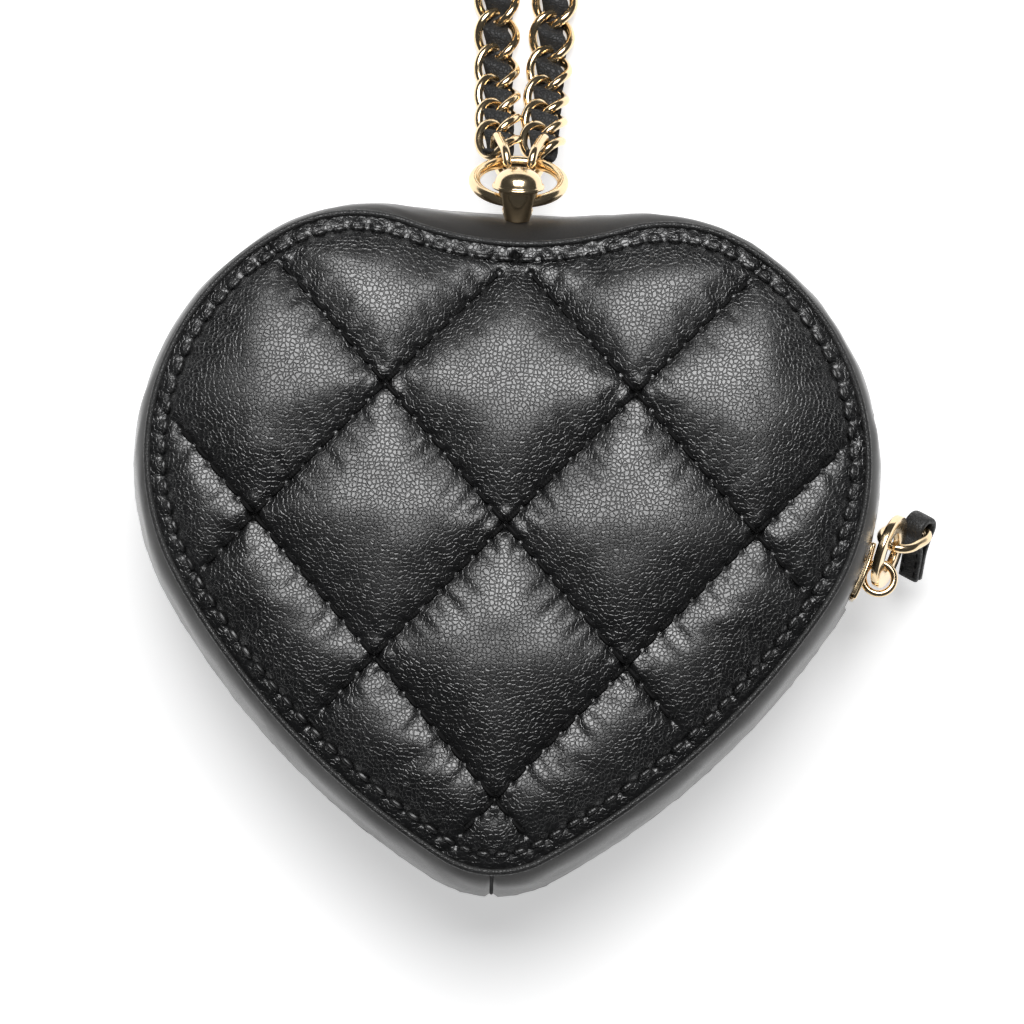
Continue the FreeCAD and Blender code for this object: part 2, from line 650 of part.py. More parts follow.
hook_out = turn_from(pull_dir, pull_side, size("pull_hook"))
hook_along = turn_from(pull_side, pull_dir, -size("pull_hook"))
hook = pull_centre + hook_out * pull_band
link_dir = turn_from(hook_out, pull_normal, size("pull_link_lean"))
link_face = turn_from(pull_normal, hook_out, -size("pull_link_lean"))
link_wire = size("link_wire")
shape_node("pull_link", oval_link(size("pull_link_l"), size("pull_link_w"), link_wire),
           axes_placement(hook, link_dir, link_dir.cross(link_face)))

tab_bend = size("pull_link_w") / 2 - link_wire
tab_pivot = hook + link_dir * (size("pull_link_l") - size("pull_link_w") + tab_bend)
tab_sag = tab_bend - math.sqrt(tab_bend ** 2 - (size("tab_w") / 2) ** 2)
tab_centre = tab_pivot - link_dir * (tab_sag / 2)
tab_dir = hook_along * -1
tab_place = axes_placement(tab_centre - link_face * (size("tab_w") / 2), tab_dir, link_face)
fold = doc.addObject("Part::Cylinder", "TabFold")
bind(fold, Radius="Sizes.tab_eye + Sizes.tab_t", Height="Sizes.tab_w")
fold.Placement = tab_place
layers = doc.addObject("Part::Box", "TabLayers")
bind(layers, Length="Sizes.tab_len", Width="2 * Sizes.tab_t", Height="Sizes.tab_w")
layers.Placement = Placement(tab_place.multVec(Vector(0, -size("tab_t"), 0)), tab_place.Rotation)
tab_hole = doc.addObject("Part::Cylinder", "TabEye")
bind(tab_hole, Radius="Sizes.tab_eye", Height="Sizes.tab_w")
tab_hole.Placement = tab_place
keep("pull_tab", cut("PullTab", fuse("TabSolid", [fold, layers]), tab_hole))


# Stud with its washer and rivet

foot_hole = size("rivet_r") + size("rivet_gap")
bite = size("rivet_bite")
dome_low = size("stud_rim_z") + size("stud_rim_t")
dome_rise = size("stud_len") - dome_low
head_r = size("stud_head_r")
dome_r = (head_r ** 2 + dome_rise ** 2) / (2 * dome_rise)
half_turn = 0.5 * math.asin(head_r / dome_r)
dome_mid = (dome_r * math.sin(half_turn), size("stud_len") - dome_r * (1 - math.cos(half_turn)))
stud_blank = turned("StudBlank", [
    (0, bite + size("rivet_gap")), (foot_hole, bite + size("rivet_gap")), (foot_hole, 0),
    (size("stud_base_r"), 0), (size("stud_neck_r"), size("stud_neck_z")),
    (head_r, size("stud_rim_z")), (head_r, dome_low), dome_mid + (0, size("stud_len")),
], stud_place)
cross_hole = doc.addObject("Part::Cylinder", "StudEye")
bind(cross_hole, Radius="Sizes.eye_r", Height="4 * Sizes.stud_head_r")
cross_hole.Placement = Placement(eye - X_AXIS * (2 * head_r), Rotation(Y_AXIS, 90))
keep("ring_stud", cut("RingStud", stud_blank, cross_hole))

washer_top = -size("seat_leather")
washer_low = washer_top - size("washer_t")
keep("stud_washer", turned("stud_washer", [
    (foot_hole, washer_low), (size("washer_r"), washer_low), (size("washer_r"), washer_top),
    (foot_hole, washer_top),
], stud_place))
head_low = washer_low - size("rivet_head_t")
keep("stud_rivet", turned("stud_rivet", [
    (0, head_low), (size("rivet_head_r"), head_low), (size("rivet_head_r"), washer_low),
    (size("rivet_r"), washer_low), (size("rivet_r"), bite), (0, bite),
], stud_place))


# Ring through the stud, hanging towards the table

droop = math.radians(size("ring_droop"))
ring_dir = Vector(0, math.cos(droop), -math.sin(droop))
ring_centre = eye + ring_dir * (size("ring_r") - size("ring_slack"))
ring_hook = ring_centre + ring_dir * math.sqrt(size("ring_r") ** 2 - size("end_spread") ** 2)
keep("strap_ring", wire_ring("StrapRing", "ring_r", "ring_wire",
                             axes_placement(ring_centre, X_AXIS, X_AXIS.cross(ring_dir))))


# Chain: two end links on the ring, and twisted links along a loop that lies on the table


def arc_from(start, along, end):
    """Arc that leaves a point along a direction and reaches another point."""
    chord = end - start
    across = along - chord * (along.dot(chord) / chord.dot(chord))
    if across.Length < 1e-9:
        return Part.LineSegment(start, end).toShape()
    lean = along.getAngle(chord)
    rise = chord.Length / 2 * math.tan(lean / 2)
    return Part.Arc(start, (start + end) * 0.5 + across.normalize() * rise, end).toShape()


def twisted_link():
    """Link of a curb chain along local X: an oval wire with flats, each end twisted the other way."""
    half_l = size("link_l") / 2 - link_wire
    half_w = size("link_w") / 2 - link_wire
    twist = math.radians(size("link_twist"))

    def station(turn):
        lean = twist * math.sin(turn)
        reach = half_w * math.cos(turn)
        return Vector(half_l * math.sin(turn), reach * math.cos(lean), reach * math.sin(lean))

    sections = []
    for count in range(LINK_STATIONS):
        turn = 2 * math.pi * count / LINK_STATIONS
        centre = station(turn)
        along = (station(turn + 1e-4) - station(turn - 1e-4)).normalize()
        out = (centre - along * centre.dot(along)).normalize()
        sections.append(flat_wire(centre, out, along.cross(out), link_wire))
    return Part.makeLoft(sections, True, True, True)


end_droop = math.radians(size("end_link_droop"))
end_dir = Vector(0, math.cos(end_droop), -math.sin(end_droop))
end_run = size("end_link_l") - size("end_link_w")
end_reach = end_run + size("end_link_w") / 2 - link_wire
half_link = size("link_l") / 2 - link_wire
pitch = 2 * half_link - 2 * link_wire - size("link_play")
one_link = twisted_link()
lie_z = one_link.BoundBox.ZMax + size("table_gap")

splay = size("end_splay")
end_links = []
for side in (1, -1):
    start = Vector(side * size("end_spread"), ring_hook.y, ring_hook.z)
    link = oval_link(size("end_link_l"), size("end_link_w"), link_wire)
    link.Placement = axes_placement(start, turn_from(end_dir, X_AXIS, side * splay),
                                    turn_from(X_AXIS, end_dir, -side * splay))
    end_links.append(link)
shape_node("chain_end_links", Part.makeCompound(end_links))

hang = end_reach - 2 * link_wire - size("end_play")
strand_top = ring_hook + X_AXIS * size("end_spread") + turn_from(end_dir, X_AXIS, splay) * hang
right_route = [strand_top, strand_top + end_dir * size("strand_fall") + X_AXIS * size("strand_part")]
right_route += [Vector(across, strand_top.y + out, lie_z) for across, out in STRAND]
route = right_route + [Vector(-p.x, p.y, p.z) for p in reversed(right_route)]


def rounded_route(points):
    """Straight runs joined by tangent arcs, each as large as its two runs allow."""
    edges, radii = [], []
    last = points[0]
    for before, corner, after in zip(points, points[1:], points[2:]):
        into = (corner - before).normalize()
        out = (after - corner).normalize()
        turn = into.getAngle(out)
        cut_back = 0.45 * min((corner - before).Length, (after - corner).Length)
        radii.append(cut_back / math.tan(turn / 2))
        first, second = corner - into * cut_back, corner + out * cut_back
        edges.append(Part.LineSegment(last, first).toShape())
        edges.append(arc_from(first, into, second))
        last = second
    edges.append(Part.LineSegment(last, points[-1]).toShape())
    return edges, radii


def point_along(edges, distance):
    """Point and direction at a distance along a chain of edges."""
    for edge in edges:
        if distance <= edge.Length + 1e-9:
            at = edge.getParameterByLength(min(distance, edge.Length))
            return edge.valueAt(at), edge.tangentAt(at)
        distance -= edge.Length
    return edges[-1].valueAt(edges[-1].LastParameter), edges[-1].tangentAt(edges[-1].LastParameter)


def aligned(edges, start):
    """Edges in order with every direction running away from the start."""
    ordered, here = [], start
    for edge in edges:
        if (edge.valueAt(edge.FirstParameter) - here).Length > 1e-6:
            raise ValueError("route edges out of order")
        ordered.append(edge)
        here = edge.valueAt(edge.LastParameter)
    return ordered


route_edges, route_radii = rounded_route(route)
route_edges = aligned(route_edges, route[0])
route_length = sum(e.Length for e in route_edges)
link_count = int(round((route_length - 2 * half_link) / pitch)) + 1
link_step = (route_length - 2 * half_link) / (link_count - 1)
links = []
for number in range(link_count):
    centre, along = point_along(route_edges, half_link + number * link_step)
    flat = (Z_AXIS - along * Z_AXIS.dot(along)).normalize()
    link = one_link.copy()
    link.Placement = axes_placement(centre, along, flat)
    links.append(link)
shape_node("chain_links", Part.makeCompound(links))

lace_path = Part.Wire(route_edges)
lace_across = (route[1] - route[0]).cross(X_AXIS).normalize()
lace_section = flat_wire(route[0], lace_across, lace_across.cross(route[1] - route[0]).normalize(), size("lace_r"))
shape_node("chain_lace", lace_path.makePipeShell([lace_section], True, False))


# Checks and files

doc.recompute()
for obj in doc.Objects:
    if "Invalid" in obj.State or "Error" in obj.State:
        raise RuntimeError("%s is %s" % (obj.Label, obj.State))
for label, obj in nodes.items():
    if obj.Shape.isNull() or not obj.Shape.isValid() or not obj.Shape.Solids:
        raise RuntimeError(label + " has no valid solid")

os.makedirs("parts", exist_ok=True)
for label, obj in nodes.items():
    obj.Shape.exportStep("parts/%s.step" % label)
    print("%-22s solids %3d  volume %9.2f" % (label, len(obj.Shape.Solids), obj.Shape.Volume))

print("stud tilt %.2f foot %s eye %s" % (stud_tilt, stud_foot, eye))
print("ring hook %s" % ring_hook)
print("slider at %.3f from %.3f to %.3f" % (slider_at, slider_start, slider_end))
print("bridge %s pull centre %s" % (bridge_centre, pull_centre))
print("hook %s along %s" % (hook, hook_along))
print("tab pivot %s axis %s" % (tab_pivot, link_face))
print("chain length %.1f links %d step %.3f play %.3f" % (
    route_length, link_count, link_step, 2 * half_link - link_step - 2 * link_wire))
print("route radii " + " ".join("%.1f" % r for r in route_radii))
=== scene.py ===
import json
from collections import Counter
from math import atan2, copysign, cos, degrees, hypot, pi, radians, sin, sqrt

import bpy
import bmesh
import numpy as np
from mathutils import Matrix, Vector, noise
from mathutils.bvhtree import BVHTree
from numpy.linalg import norm

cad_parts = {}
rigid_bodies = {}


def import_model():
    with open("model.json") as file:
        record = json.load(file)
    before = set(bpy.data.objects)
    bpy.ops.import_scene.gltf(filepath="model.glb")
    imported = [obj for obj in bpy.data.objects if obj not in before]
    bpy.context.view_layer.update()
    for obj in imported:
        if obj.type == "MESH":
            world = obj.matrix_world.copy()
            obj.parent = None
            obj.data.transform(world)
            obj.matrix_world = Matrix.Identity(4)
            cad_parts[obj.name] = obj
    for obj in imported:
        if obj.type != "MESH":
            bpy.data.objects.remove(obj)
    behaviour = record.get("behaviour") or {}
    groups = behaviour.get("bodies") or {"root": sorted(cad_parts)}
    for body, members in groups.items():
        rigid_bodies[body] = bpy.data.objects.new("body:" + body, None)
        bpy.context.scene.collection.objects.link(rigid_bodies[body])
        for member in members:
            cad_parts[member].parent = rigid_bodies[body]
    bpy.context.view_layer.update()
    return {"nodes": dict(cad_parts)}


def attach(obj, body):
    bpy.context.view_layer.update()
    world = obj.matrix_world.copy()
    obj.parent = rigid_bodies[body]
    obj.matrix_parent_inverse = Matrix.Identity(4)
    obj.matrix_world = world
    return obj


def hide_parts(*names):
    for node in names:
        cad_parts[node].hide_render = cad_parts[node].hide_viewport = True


for start_object in list(bpy.data.objects):
    bpy.data.objects.remove(start_object)
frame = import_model()
nodes = frame["nodes"]
scene = bpy.context.scene
MM = 0.001
X_DIR, Z_DIR = np.array([1.0, 0.0, 0.0]), np.array([0.0, 0.0, 1.0])
ENDS = (("front", 1), ("back", -1))
MID_Z, HALF_DEPTH = 19.5, 15.3


# Mesh helpers. Points are in millimetres and go into Blender in metres.

def add_object(name, data):
    obj = bpy.data.objects.new(name, data)
    scene.collection.objects.link(obj)
    return obj


def smooth_faces(mesh):
    mesh.polygons.foreach_set("use_smooth", [True] * len(mesh.polygons))


def new_mesh(name, points, faces, material, smooth=True):
    mesh = bpy.data.meshes.new(name)
    mesh.from_pydata([tuple(float(c) * MM for c in p) for p in points], [], [tuple(f) for f in faces])
    mesh.update()
    obj = add_object(name, mesh)
    if material is not None:
        mesh.materials.append(material)
    if smooth:
        smooth_faces(mesh)
    return obj


def final_mesh(obj):
    """New mesh of an object with its modifiers applied."""
    return bpy.data.meshes.new_from_object(obj.evaluated_get(bpy.context.evaluated_depsgraph_get()))


def settled(obj):
    """Points and faces of an object with its modifiers applied. The object itself is dropped."""
    mesh = final_mesh(obj)
    points = np.array([v.co[:] for v in mesh.vertices]) / MM
    faces = [tuple(p.vertices) for p in mesh.polygons]
    bpy.data.meshes.remove(mesh)
    bpy.data.objects.remove(obj)
    return points, faces


def grid_faces(rows, columns, close_rows=False, close_columns=False):
    """Quads of a grid of points that is numbered row by row."""
    faces = []
    for r in range(rows if close_rows else rows - 1):
        for c in range(columns if close_columns else columns - 1):
            r2, c2 = (r + 1) % rows, (c + 1) % columns
            faces.append((r * columns + c, r * columns + c2, r2 * columns + c2, r2 * columns + c))
    return faces


def capped_faces(rows, around):
    """Quads of a tube of points, with a face over each end."""
    faces = grid_faces(rows, around, close_columns=True)
    faces.append(tuple(reversed(range(around))))
    faces.append(tuple(range((rows - 1) * around, rows * around)))
    return faces


def unit(v):
    return v / max(norm(v), 1e-12)


def polar(angle):
    return np.array([cos(radians(angle)), sin(radians(angle)), 0.0])


def turn_from(first, second, angle):
    return first * cos(radians(angle)) + second * sin(radians(angle))


def lengths_along(steps):
    """Distance from the start at each end of a run of steps."""
    return np.concatenate([[0.0], np.cumsum(norm(steps, axis=1))])


def left_of(steps):
    """Unit vectors to the left of flat steps."""
    normals = np.column_stack([-steps[:, 1], steps[:, 0]])
    return normals / norm(normals, axis=1)[:, None]


def signed_power(value, power):
    return copysign(abs(value) ** power, value)


def noise_at(*coordinates):
    """Smooth noise at rows of three coordinates, each an array or one value for all."""
    return np.array([noise.noise(Vector(spot)) for spot in zip(*np.broadcast_arrays(*coordinates))])


def circle(centre, radius, first, second, count):
    turns = 2 * pi * np.arange(count) / count
    return centre + radius * (np.outer(np.cos(turns), first) + np.outer(np.sin(turns), second))


def tube(centres, radius, around, start_normal, closed=True):
    """Points of a round tube along a line of points: rows of around points."""
    count = len(centres)
    rows = []
    normal = start_normal
    for k in range(count):
        ahead = centres[(k + 1) % count] if closed or k < count - 1 else centres[k]
        behind = centres[k - 1] if closed or k > 0 else centres[k]
        along = unit(ahead - behind)
        normal = unit(normal - along * np.dot(normal, along))
        rows.append(circle(centres[k], radius, normal, np.cross(along, normal), around))
    return np.concatenate(rows)


def closed_tube(centres, radius, around, start_normal):
    """Points and faces of a tube along a closed line."""
    return tube(centres, radius, around, start_normal), grid_faces(len(centres), around, True, True)


# Camera

ELEVATION, ROLL, DISTANCE, MM_PER_PIXEL = 83.5, 2.2, 640.0, 0.148
AIM, AIM_PIXEL = np.array([0.0, 13.0, 35.7]), (507.7, 461.3)  # a point, and where it is seen
PICTURE, SENSOR = 1024.0, 36.0
NEAR_CLIP, FAR_CLIP = 0.01, 20.0
look = np.array([0.0, cos(radians(ELEVATION)), -sin(radians(ELEVATION))])
level_up = np.cross(X_DIR, look)
right = turn_from(X_DIR, level_up, ROLL)
up = turn_from(level_up, X_DIR, -ROLL)
target = AIM - MM_PER_PIXEL * ((AIM_PIXEL[0] - PICTURE / 2) * right + (PICTURE / 2 - AIM_PIXEL[1]) * up)
camera_data = bpy.data.cameras.new("camera")
camera = add_object("camera", camera_data)
camera_data.sensor_width = SENSOR
camera_data.lens = SENSOR * DISTANCE / (MM_PER_PIXEL * PICTURE)
camera_data.clip_start, camera_data.clip_end = NEAR_CLIP, FAR_CLIP
eye_at = (target - look * DISTANCE) * MM
camera.matrix_world = Matrix([*zip(right, up, -look, eye_at), (0, 0, 0, 1)])
scene.camera = camera


# Materials

def shader_of(name, **values):
    mat = bpy.data.materials.new(name)
    mat.use_nodes = True
    shader = mat.node_tree.nodes["Principled BSDF"]
    for socket, value in values.items():
        shader.inputs[socket.replace("_", " ")].default_value = value
    return mat, mat.node_tree, shader


def feed(tree, shader, **sources):
    """Links sockets to the inputs of a shader."""
    for socket, source in sources.items():
        tree.links.new(source, shader.inputs[socket.replace("_", " ")])


def node(tree, kind, links=None, **settings):
    """New shader node: settings are its properties, links its inputs by name, as sockets or values."""
    made = tree.nodes.new(kind)
    for key, value in settings.items():
        setattr(made, key, value)
    for key, value in (links or {}).items():
        socket = made.inputs[key]
        if isinstance(value, bpy.types.NodeSocket):
            tree.links.new(value, socket)
        else:
            socket.default_value = value
    return made


def object_coordinates(tree):
    return node(tree, "ShaderNodeTexCoord").outputs["Object"]


def noise_texture(tree, place, scale, detail, **inputs):
    links = {"Vector": place, "Scale": scale, "Detail": detail, **inputs}
    return node(tree, "ShaderNodeTexNoise", links).outputs


def mix_colour(tree, factor, low, high):
    """Colour between two others, each a socket or its red, green and blue."""
    low, high = (c if isinstance(c, bpy.types.NodeSocket) else (*c, 1.0) for c in (low, high))
    return node(tree, "ShaderNodeMix", {0: factor, 6: low, 7: high}, data_type="RGBA").outputs[2]


def map_range(tree, value, low, high, to_low=0.0, to_high=1.0):
    return node(tree, "ShaderNodeMapRange", {0: value, 1: low, 2: high, 3: to_low, 4: to_high},
                interpolation_type="SMOOTHSTEP").outputs[0]


def math_node(tree, operation, first, second=0.0):
    return node(tree, "ShaderNodeMath", {0: first, 1: second}, operation=operation).outputs[0]


def vector_math(tree, operation, links):
    return node(tree, "ShaderNodeVectorMath", links, operation=operation).outputs[0]


def bump(tree, height, distance, strength):
    links = {"Height": height, "Distance": distance, "Strength": strength}
    return node(tree, "ShaderNodeBump", links).outputs["Normal"]


CREASE_EDGES, PORE_SHARE, WEAR_SCALE, WORN_LIGHTER = (0.02, 0.2), 0.25, 70.0, 1.35
RIM_FROM, RIM_TO, RIM_MATT = 0.45, 0.98, 0.42


def leather(name, top, painted_crease_shade, cell, depth, rough, crease_rough=0.3, specular=0.5, space="3D", rim=None):
    """Black leather: a net of fine creases between pebbles, pores, and broad wear. The creases take a darker
    colour, which is painted shade.

    With rim = (middle, half) the leather turns matt where its height nears middle +- half.
    """
    mat, tree, shader = shader_of(name, Specular_IOR_Level=specular)
    place = object_coordinates(tree)
    warp = noise_texture(tree, place, 0.45 / cell, 2.0)["Color"]
    shift = vector_math(tree, "SUBTRACT", {0: warp, 1: (0.5, 0.5, 0.5)})
    shift = vector_math(tree, "SCALE", {0: shift, "Scale": 1.6 * cell})
    moved = vector_math(tree, "ADD", {0: place, 1: shift})
    net = node(tree, "ShaderNodeTexVoronoi", {"Vector": moved, "Scale": 1.0 / cell, "Randomness": 0.85},
               voronoi_dimensions=space, feature="DISTANCE_TO_EDGE")
    pebble = map_range(tree, net.outputs["Distance"], *CREASE_EDGES)
    pore = noise_texture(tree, place, 2.6 / cell, 3.0)["Fac"]
    broad = noise_texture(tree, place, WEAR_SCALE, 4.0, Roughness=0.6)["Fac"]
    height = math_node(tree, "ADD", pebble, math_node(tree, "MULTIPLY", pore, PORE_SHARE))
    # The second colour is painted shade: it darkens the creases between the pebble tops.
    colour = mix_colour(tree, pebble, painted_crease_shade, top)
    worn = mix_colour(tree, map_range(tree, broad, 0.42, 0.75), colour, [WORN_LIGHTER * c for c in top])
    worn_rough = map_range(tree, broad, 0.3, 0.7, *rough)
    in_crease = map_range(tree, pebble, 0.0, 0.7, crease_rough, 0.0)
    total = math_node(tree, "ADD", worn_rough, in_crease)
    if rim:
        middle, half = rim
        level = node(tree, "ShaderNodeSeparateXYZ", {"Vector": place}).outputs["Z"]
        away = math_node(tree, "ABSOLUTE", math_node(tree, "SUBTRACT", level, middle))
        matt = map_range(tree, away, RIM_FROM * half, RIM_TO * half, 0.0, RIM_MATT)
        total = math_node(tree, "ADD", total, matt)
    feed(tree, shader, Base_Color=worn, Roughness=total, Normal=bump(tree, height, depth, 1.0))
    return mat


def gold(name, colour, rough=0.16):
    """Polished plate with faint hairlines and handling marks."""
    mat, tree, shader = shader_of(name, Metallic=1.0)
    place = object_coordinates(tree)
    smear = noise_texture(tree, place, 420.0, 3.0)["Fac"]
    tone = mix_colour(tree, map_range(tree, smear, 0.35, 0.7), colour, [0.93 * c for c in colour])
    stretch = node(tree, "ShaderNodeMapping", {"Vector": place, "Scale": (400.0, 2600.0, 2600.0)})
    hair = noise_texture(tree, stretch.outputs[0], 1.0, 2.0)["Fac"]
    feed(tree, shader, Base_Color=tone, Normal=bump(tree, hair, 0.000004, 0.35),
         Roughness=map_range(tree, smear, 0.3, 0.75, 0.75 * rough, 1.5 * rough))
    return mat


def woven(name, low, high, pitch, rough):
    """Plain weave of crossing yarns."""
    mat, tree, shader = shader_of(name, Sheen_Weight=0.25, Roughness=rough)
    links = {"Vector": object_coordinates(tree), "Scale": 0.5 / pitch, "Distortion": 0.6, "Detail": 1.0}
    yarns = [node(tree, "ShaderNodeTexWave", links, bands_direction=axis).outputs["Fac"] for axis in "XYZ"]
    cross = math_node(tree, "MAXIMUM", math_node(tree, "MAXIMUM", yarns[0], yarns[1]), yarns[2])
    feed(tree, shader, Base_Color=mix_colour(tree, cross, low, high),
         Normal=bump(tree, cross, 0.5 * pitch, 0.5))
    return mat


def twisted_thread(name, rough=0.8, specular=0.2):
    """Black thread with its plies showing as slanting bands."""
    mat, tree, shader = shader_of(name, Roughness=rough, Specular_IOR_Level=specular)
    links = {"Vector": object_coordinates(tree), "Scale": 900.0, "Distortion": 1.0}
    ply = node(tree, "ShaderNodeTexWave", links, bands_direction="DIAGONAL").outputs["Fac"]
    feed(tree, shader, Base_Color=mix_colour(tree, ply, (0.002, 0.002, 0.002), (0.010, 0.010, 0.0105)),
         Normal=bump(tree, ply, 0.00005, 0.6))
    return mat


panel_leather = leather("panel_leather", (0.005, 0.005, 0.0053), (0.0015, 0.0015, 0.0015), 0.00064, 0.000042,
                        (0.27, 0.35), crease_rough=0.12, specular=1.0, space="2D")
gusset_leather = leather("gusset_leather", (0.018, 0.017, 0.016), (0.014, 0.013, 0.0125), 0.0005, 0.000003,
                         (0.2, 0.28), crease_rough=0.02, specular=0.4, rim=(MID_Z * MM, HALF_DEPTH * MM))
edge_leather = leather("edge_leather", (0.020, 0.020, 0.020), (0.010, 0.010, 0.010), 0.0005, 0.00003,
                       (0.28, 0.4))
lace_leather = leather("lace_leather", (0.022, 0.022, 0.0225), (0.010, 0.010, 0.010), 0.0006, 0.00005,
                       (0.42, 0.55))
gold_plate = gold("gold_plate", (0.90, 0.70, 0.44))
thread = twisted_thread("thread")
waxed_thread = twisted_thread("waxed_thread", rough=0.42, specular=1.0)
lining_cloth = woven("lining_cloth", (0.012, 0.012, 0.013), (0.04, 0.04, 0.042), 0.0004, 0.7)
tape_cloth = woven("tape_cloth", (0.008, 0.008, 0.008), (0.028, 0.028, 0.028), 0.0005, 0.8)

# Solids that stay as they are, with their materials
for material, node_names in (
    (lining_cloth, ("front_lining", "back_lining", "side_lining")),
    (tape_cloth, ("front_zip_tape", "back_zip_tape")),
    (gold_plate, ("front_zip_teeth", "back_zip_teeth", "zip_bottom_stop", "zip_top_stop",
                  "stud_washer", "stud_rivet")),
):
    for node_name in node_names:
        nodes[node_name].data.materials.clear()
        nodes[node_name].data.materials.append(material)


def place_piece(obj, body, slot, *replaced):
    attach(obj, body)
    if replaced:
        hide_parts(*replaced)
    return obj


# Chain: a ribbon woven through twisted links along a loop on the table

LACE_W, LACE_T, LACE_STEP = 4.8, 1.0, 0.45
LACE_SINK, LACE_WEAVE, LACE_SWAY, LACE_LEAN, LACE_CUP = 0.2, 0.75, 0.35, 24.0, 0.35
LINK_COUNT, LINK_HALF_L, LINK_HALF_W, LINK_WIRE, LINK_TWIST = 44, 3.9, 3.0, 0.7, radians(45.0)
LINK_ROLL, LINK_YAW, LINK_CHANGE = 9.0, 4.0, 0.83
RING_HOOK = np.array([0.0, 60.8555, 20.6211])
RIGHT_STRAND = (
    (3.3576, 63.0559, 17.8048), (3.4576, 67.6118, 11.9735), (4.2, 80.0559, 2.09), (4.5, 93.0559, 2.09),
    (7.5, 108.0559, 2.09), (13.5, 123.0559, 2.09), (19.0, 139.0559, 2.09), (20.5, 155.0559, 2.09),
    (15.0, 168.0559, 2.09), (5.5, 174.0559, 2.09),
)
ROUTE = RIGHT_STRAND + tuple((-x, y, z) for x, y, z in reversed(RIGHT_STRAND))


def spline_points(name, points, resolution=24):
    """Points along the NURBS spline that has the given points as its control points."""
    curve = bpy.data.curves.new(name, "CURVE")
    curve.dimensions = "3D"
    curve.resolution_u = resolution
    spline = curve.splines.new("NURBS")
    spline.points.add(len(points) - 1)
    for place, point in zip(spline.points, points):
        place.co = (*[c * MM for c in point], 1.0)
    spline.order_u = 3
    spline.use_endpoint_u = True
    obj = add_object(name, curve)
    bpy.context.view_layer.update()
    return settled(obj)[0]


class Line:
    """Place, direction and upward direction at a distance along a line of points."""

    REACH = 0.4

    def __init__(self, points):
        self.points = points
        self.at = lengths_along(np.diff(points, axis=0))
        self.length = self.at[-1]

    def place(self, distance):
        return np.array([np.interp(distance, self.at, self.points[:, k]) for k in range(3)])

    def frame(self, distance):
        low, high = max(distance - self.REACH, 0.0), min(distance + self.REACH, self.length)
        along = unit(self.place(high) - self.place(low))
        across = unit(np.cross(Z_DIR, along))
        return self.place(distance), along, across, np.cross(along, across)


strand = Line(spline_points("chain_line", ROUTE))
link_step = (strand.length - 2 * LINK_HALF_L) / (LINK_COUNT - 1)
link_places = [LINK_HALF_L + n * link_step for n in range(LINK_COUNT)]


def ribbon(name, material, around=12):
    """Flat leather strip that rises through each link and dips under the next."""
    count = int(strand.length / LACE_STEP)
    points = []
    for s in np.linspace(0.0, strand.length, count):
        place, along, across, rise = strand.frame(s)
        phase = 2 * pi * (s - LINK_HALF_L) / link_step
        centre = place + rise * (LACE_WEAVE * cos(phase) - LACE_SINK) + across * LACE_SWAY * sin(phase)
        lean = LACE_LEAN * sin(phase)
        wide_dir, high_dir = turn_from(across, rise, lean), turn_from(rise, across, -lean)
        half_width = LACE_W / 2 * (0.94 - 0.06 * cos(phase))
        for k in range(around):
            turn = 2 * pi * k / around
            wide = signed_power(cos(turn), 0.55) * half_width
            high = signed_power(sin(turn), 0.8) * LACE_T / 2
            high += LACE_CUP * cos(pi * wide / LACE_W)
            points.append(centre + wide_dir * wide + high_dir * high)
    return new_mesh(name, points, capped_faces(count, around), material)


lace = place_piece(ribbon("chain_ribbon", lace_leather), "strap", "lace_leather", "chain_lace")


def link_mesh(around=12, stations=40):
    """One twisted link of a curb chain along X, about the origin."""
    turns = 2 * pi * np.arange(stations) / stations
    lean, reach = LINK_TWIST * np.sin(turns), LINK_HALF_W * np.cos(turns)
    centres = np.column_stack([LINK_HALF_L * np.sin(turns), reach * np.cos(lean), reach * np.sin(lean)])
    rows = []
    for k in range(stations):
        along = unit(centres[(k + 1) % stations] - centres[k - 1])
        out = unit(centres[k] - along * np.dot(centres[k], along))
        rows.append(circle(centres[k], LINK_WIRE, out, np.cross(along, out), around))
    return np.concatenate(rows), grid_faces(stations, around, True, True)


def many(name, copies, faces, material):
    """One mesh of several equal point sets."""
    count = len(copies[0])
    all_faces = [tuple(n * count + i for i in f) for n in range(len(copies)) for f in faces]
    return new_mesh(name, np.concatenate(copies), all_faces, material)


link_points, link_faces = link_mesh()
link_copies = []
link_numbers = LINK_CHANGE * np.arange(LINK_COUNT)
for distance, roll, yaw in zip(link_places, LINK_ROLL * noise_at(link_numbers, 0.5, 71.0),
                               LINK_YAW * noise_at(link_numbers, 0.5, 83.0)):
    place, along, across, rise = strand.frame(distance)
    across, rise = turn_from(across, rise, roll), turn_from(rise, across, -roll)
    along, across = turn_from(along, across, yaw), turn_from(across, along, -yaw)
    link_copies.append(place + link_points @ np.array([along, across, rise]))
links = place_piece(many("chain_links_gold", link_copies, link_faces, gold_plate), "strap", "gold_metal",
                    "chain_links")


def oval_link(length, width, wire, origin, x_dir, z_dir, around=14, bend_steps=14, run_steps=6):
    """Points and faces of a flat oval link along x_dir. Its first end arc is about the origin."""
    bend, run = width / 2 - wire, length - width
    half = [(run * k / run_steps, -bend, 0.0) for k in range(run_steps)]
    for k in range(bend_steps):
        turn = -pi / 2 + pi * k / bend_steps
        half.append((run + bend * cos(turn), bend * sin(turn), 0.0))
    local = np.concatenate([half, X_DIR * run - half])
    centres = origin + local @ np.array([x_dir, np.cross(z_dir, x_dir), z_dir])
    return closed_tube(centres, wire, around, z_dir)


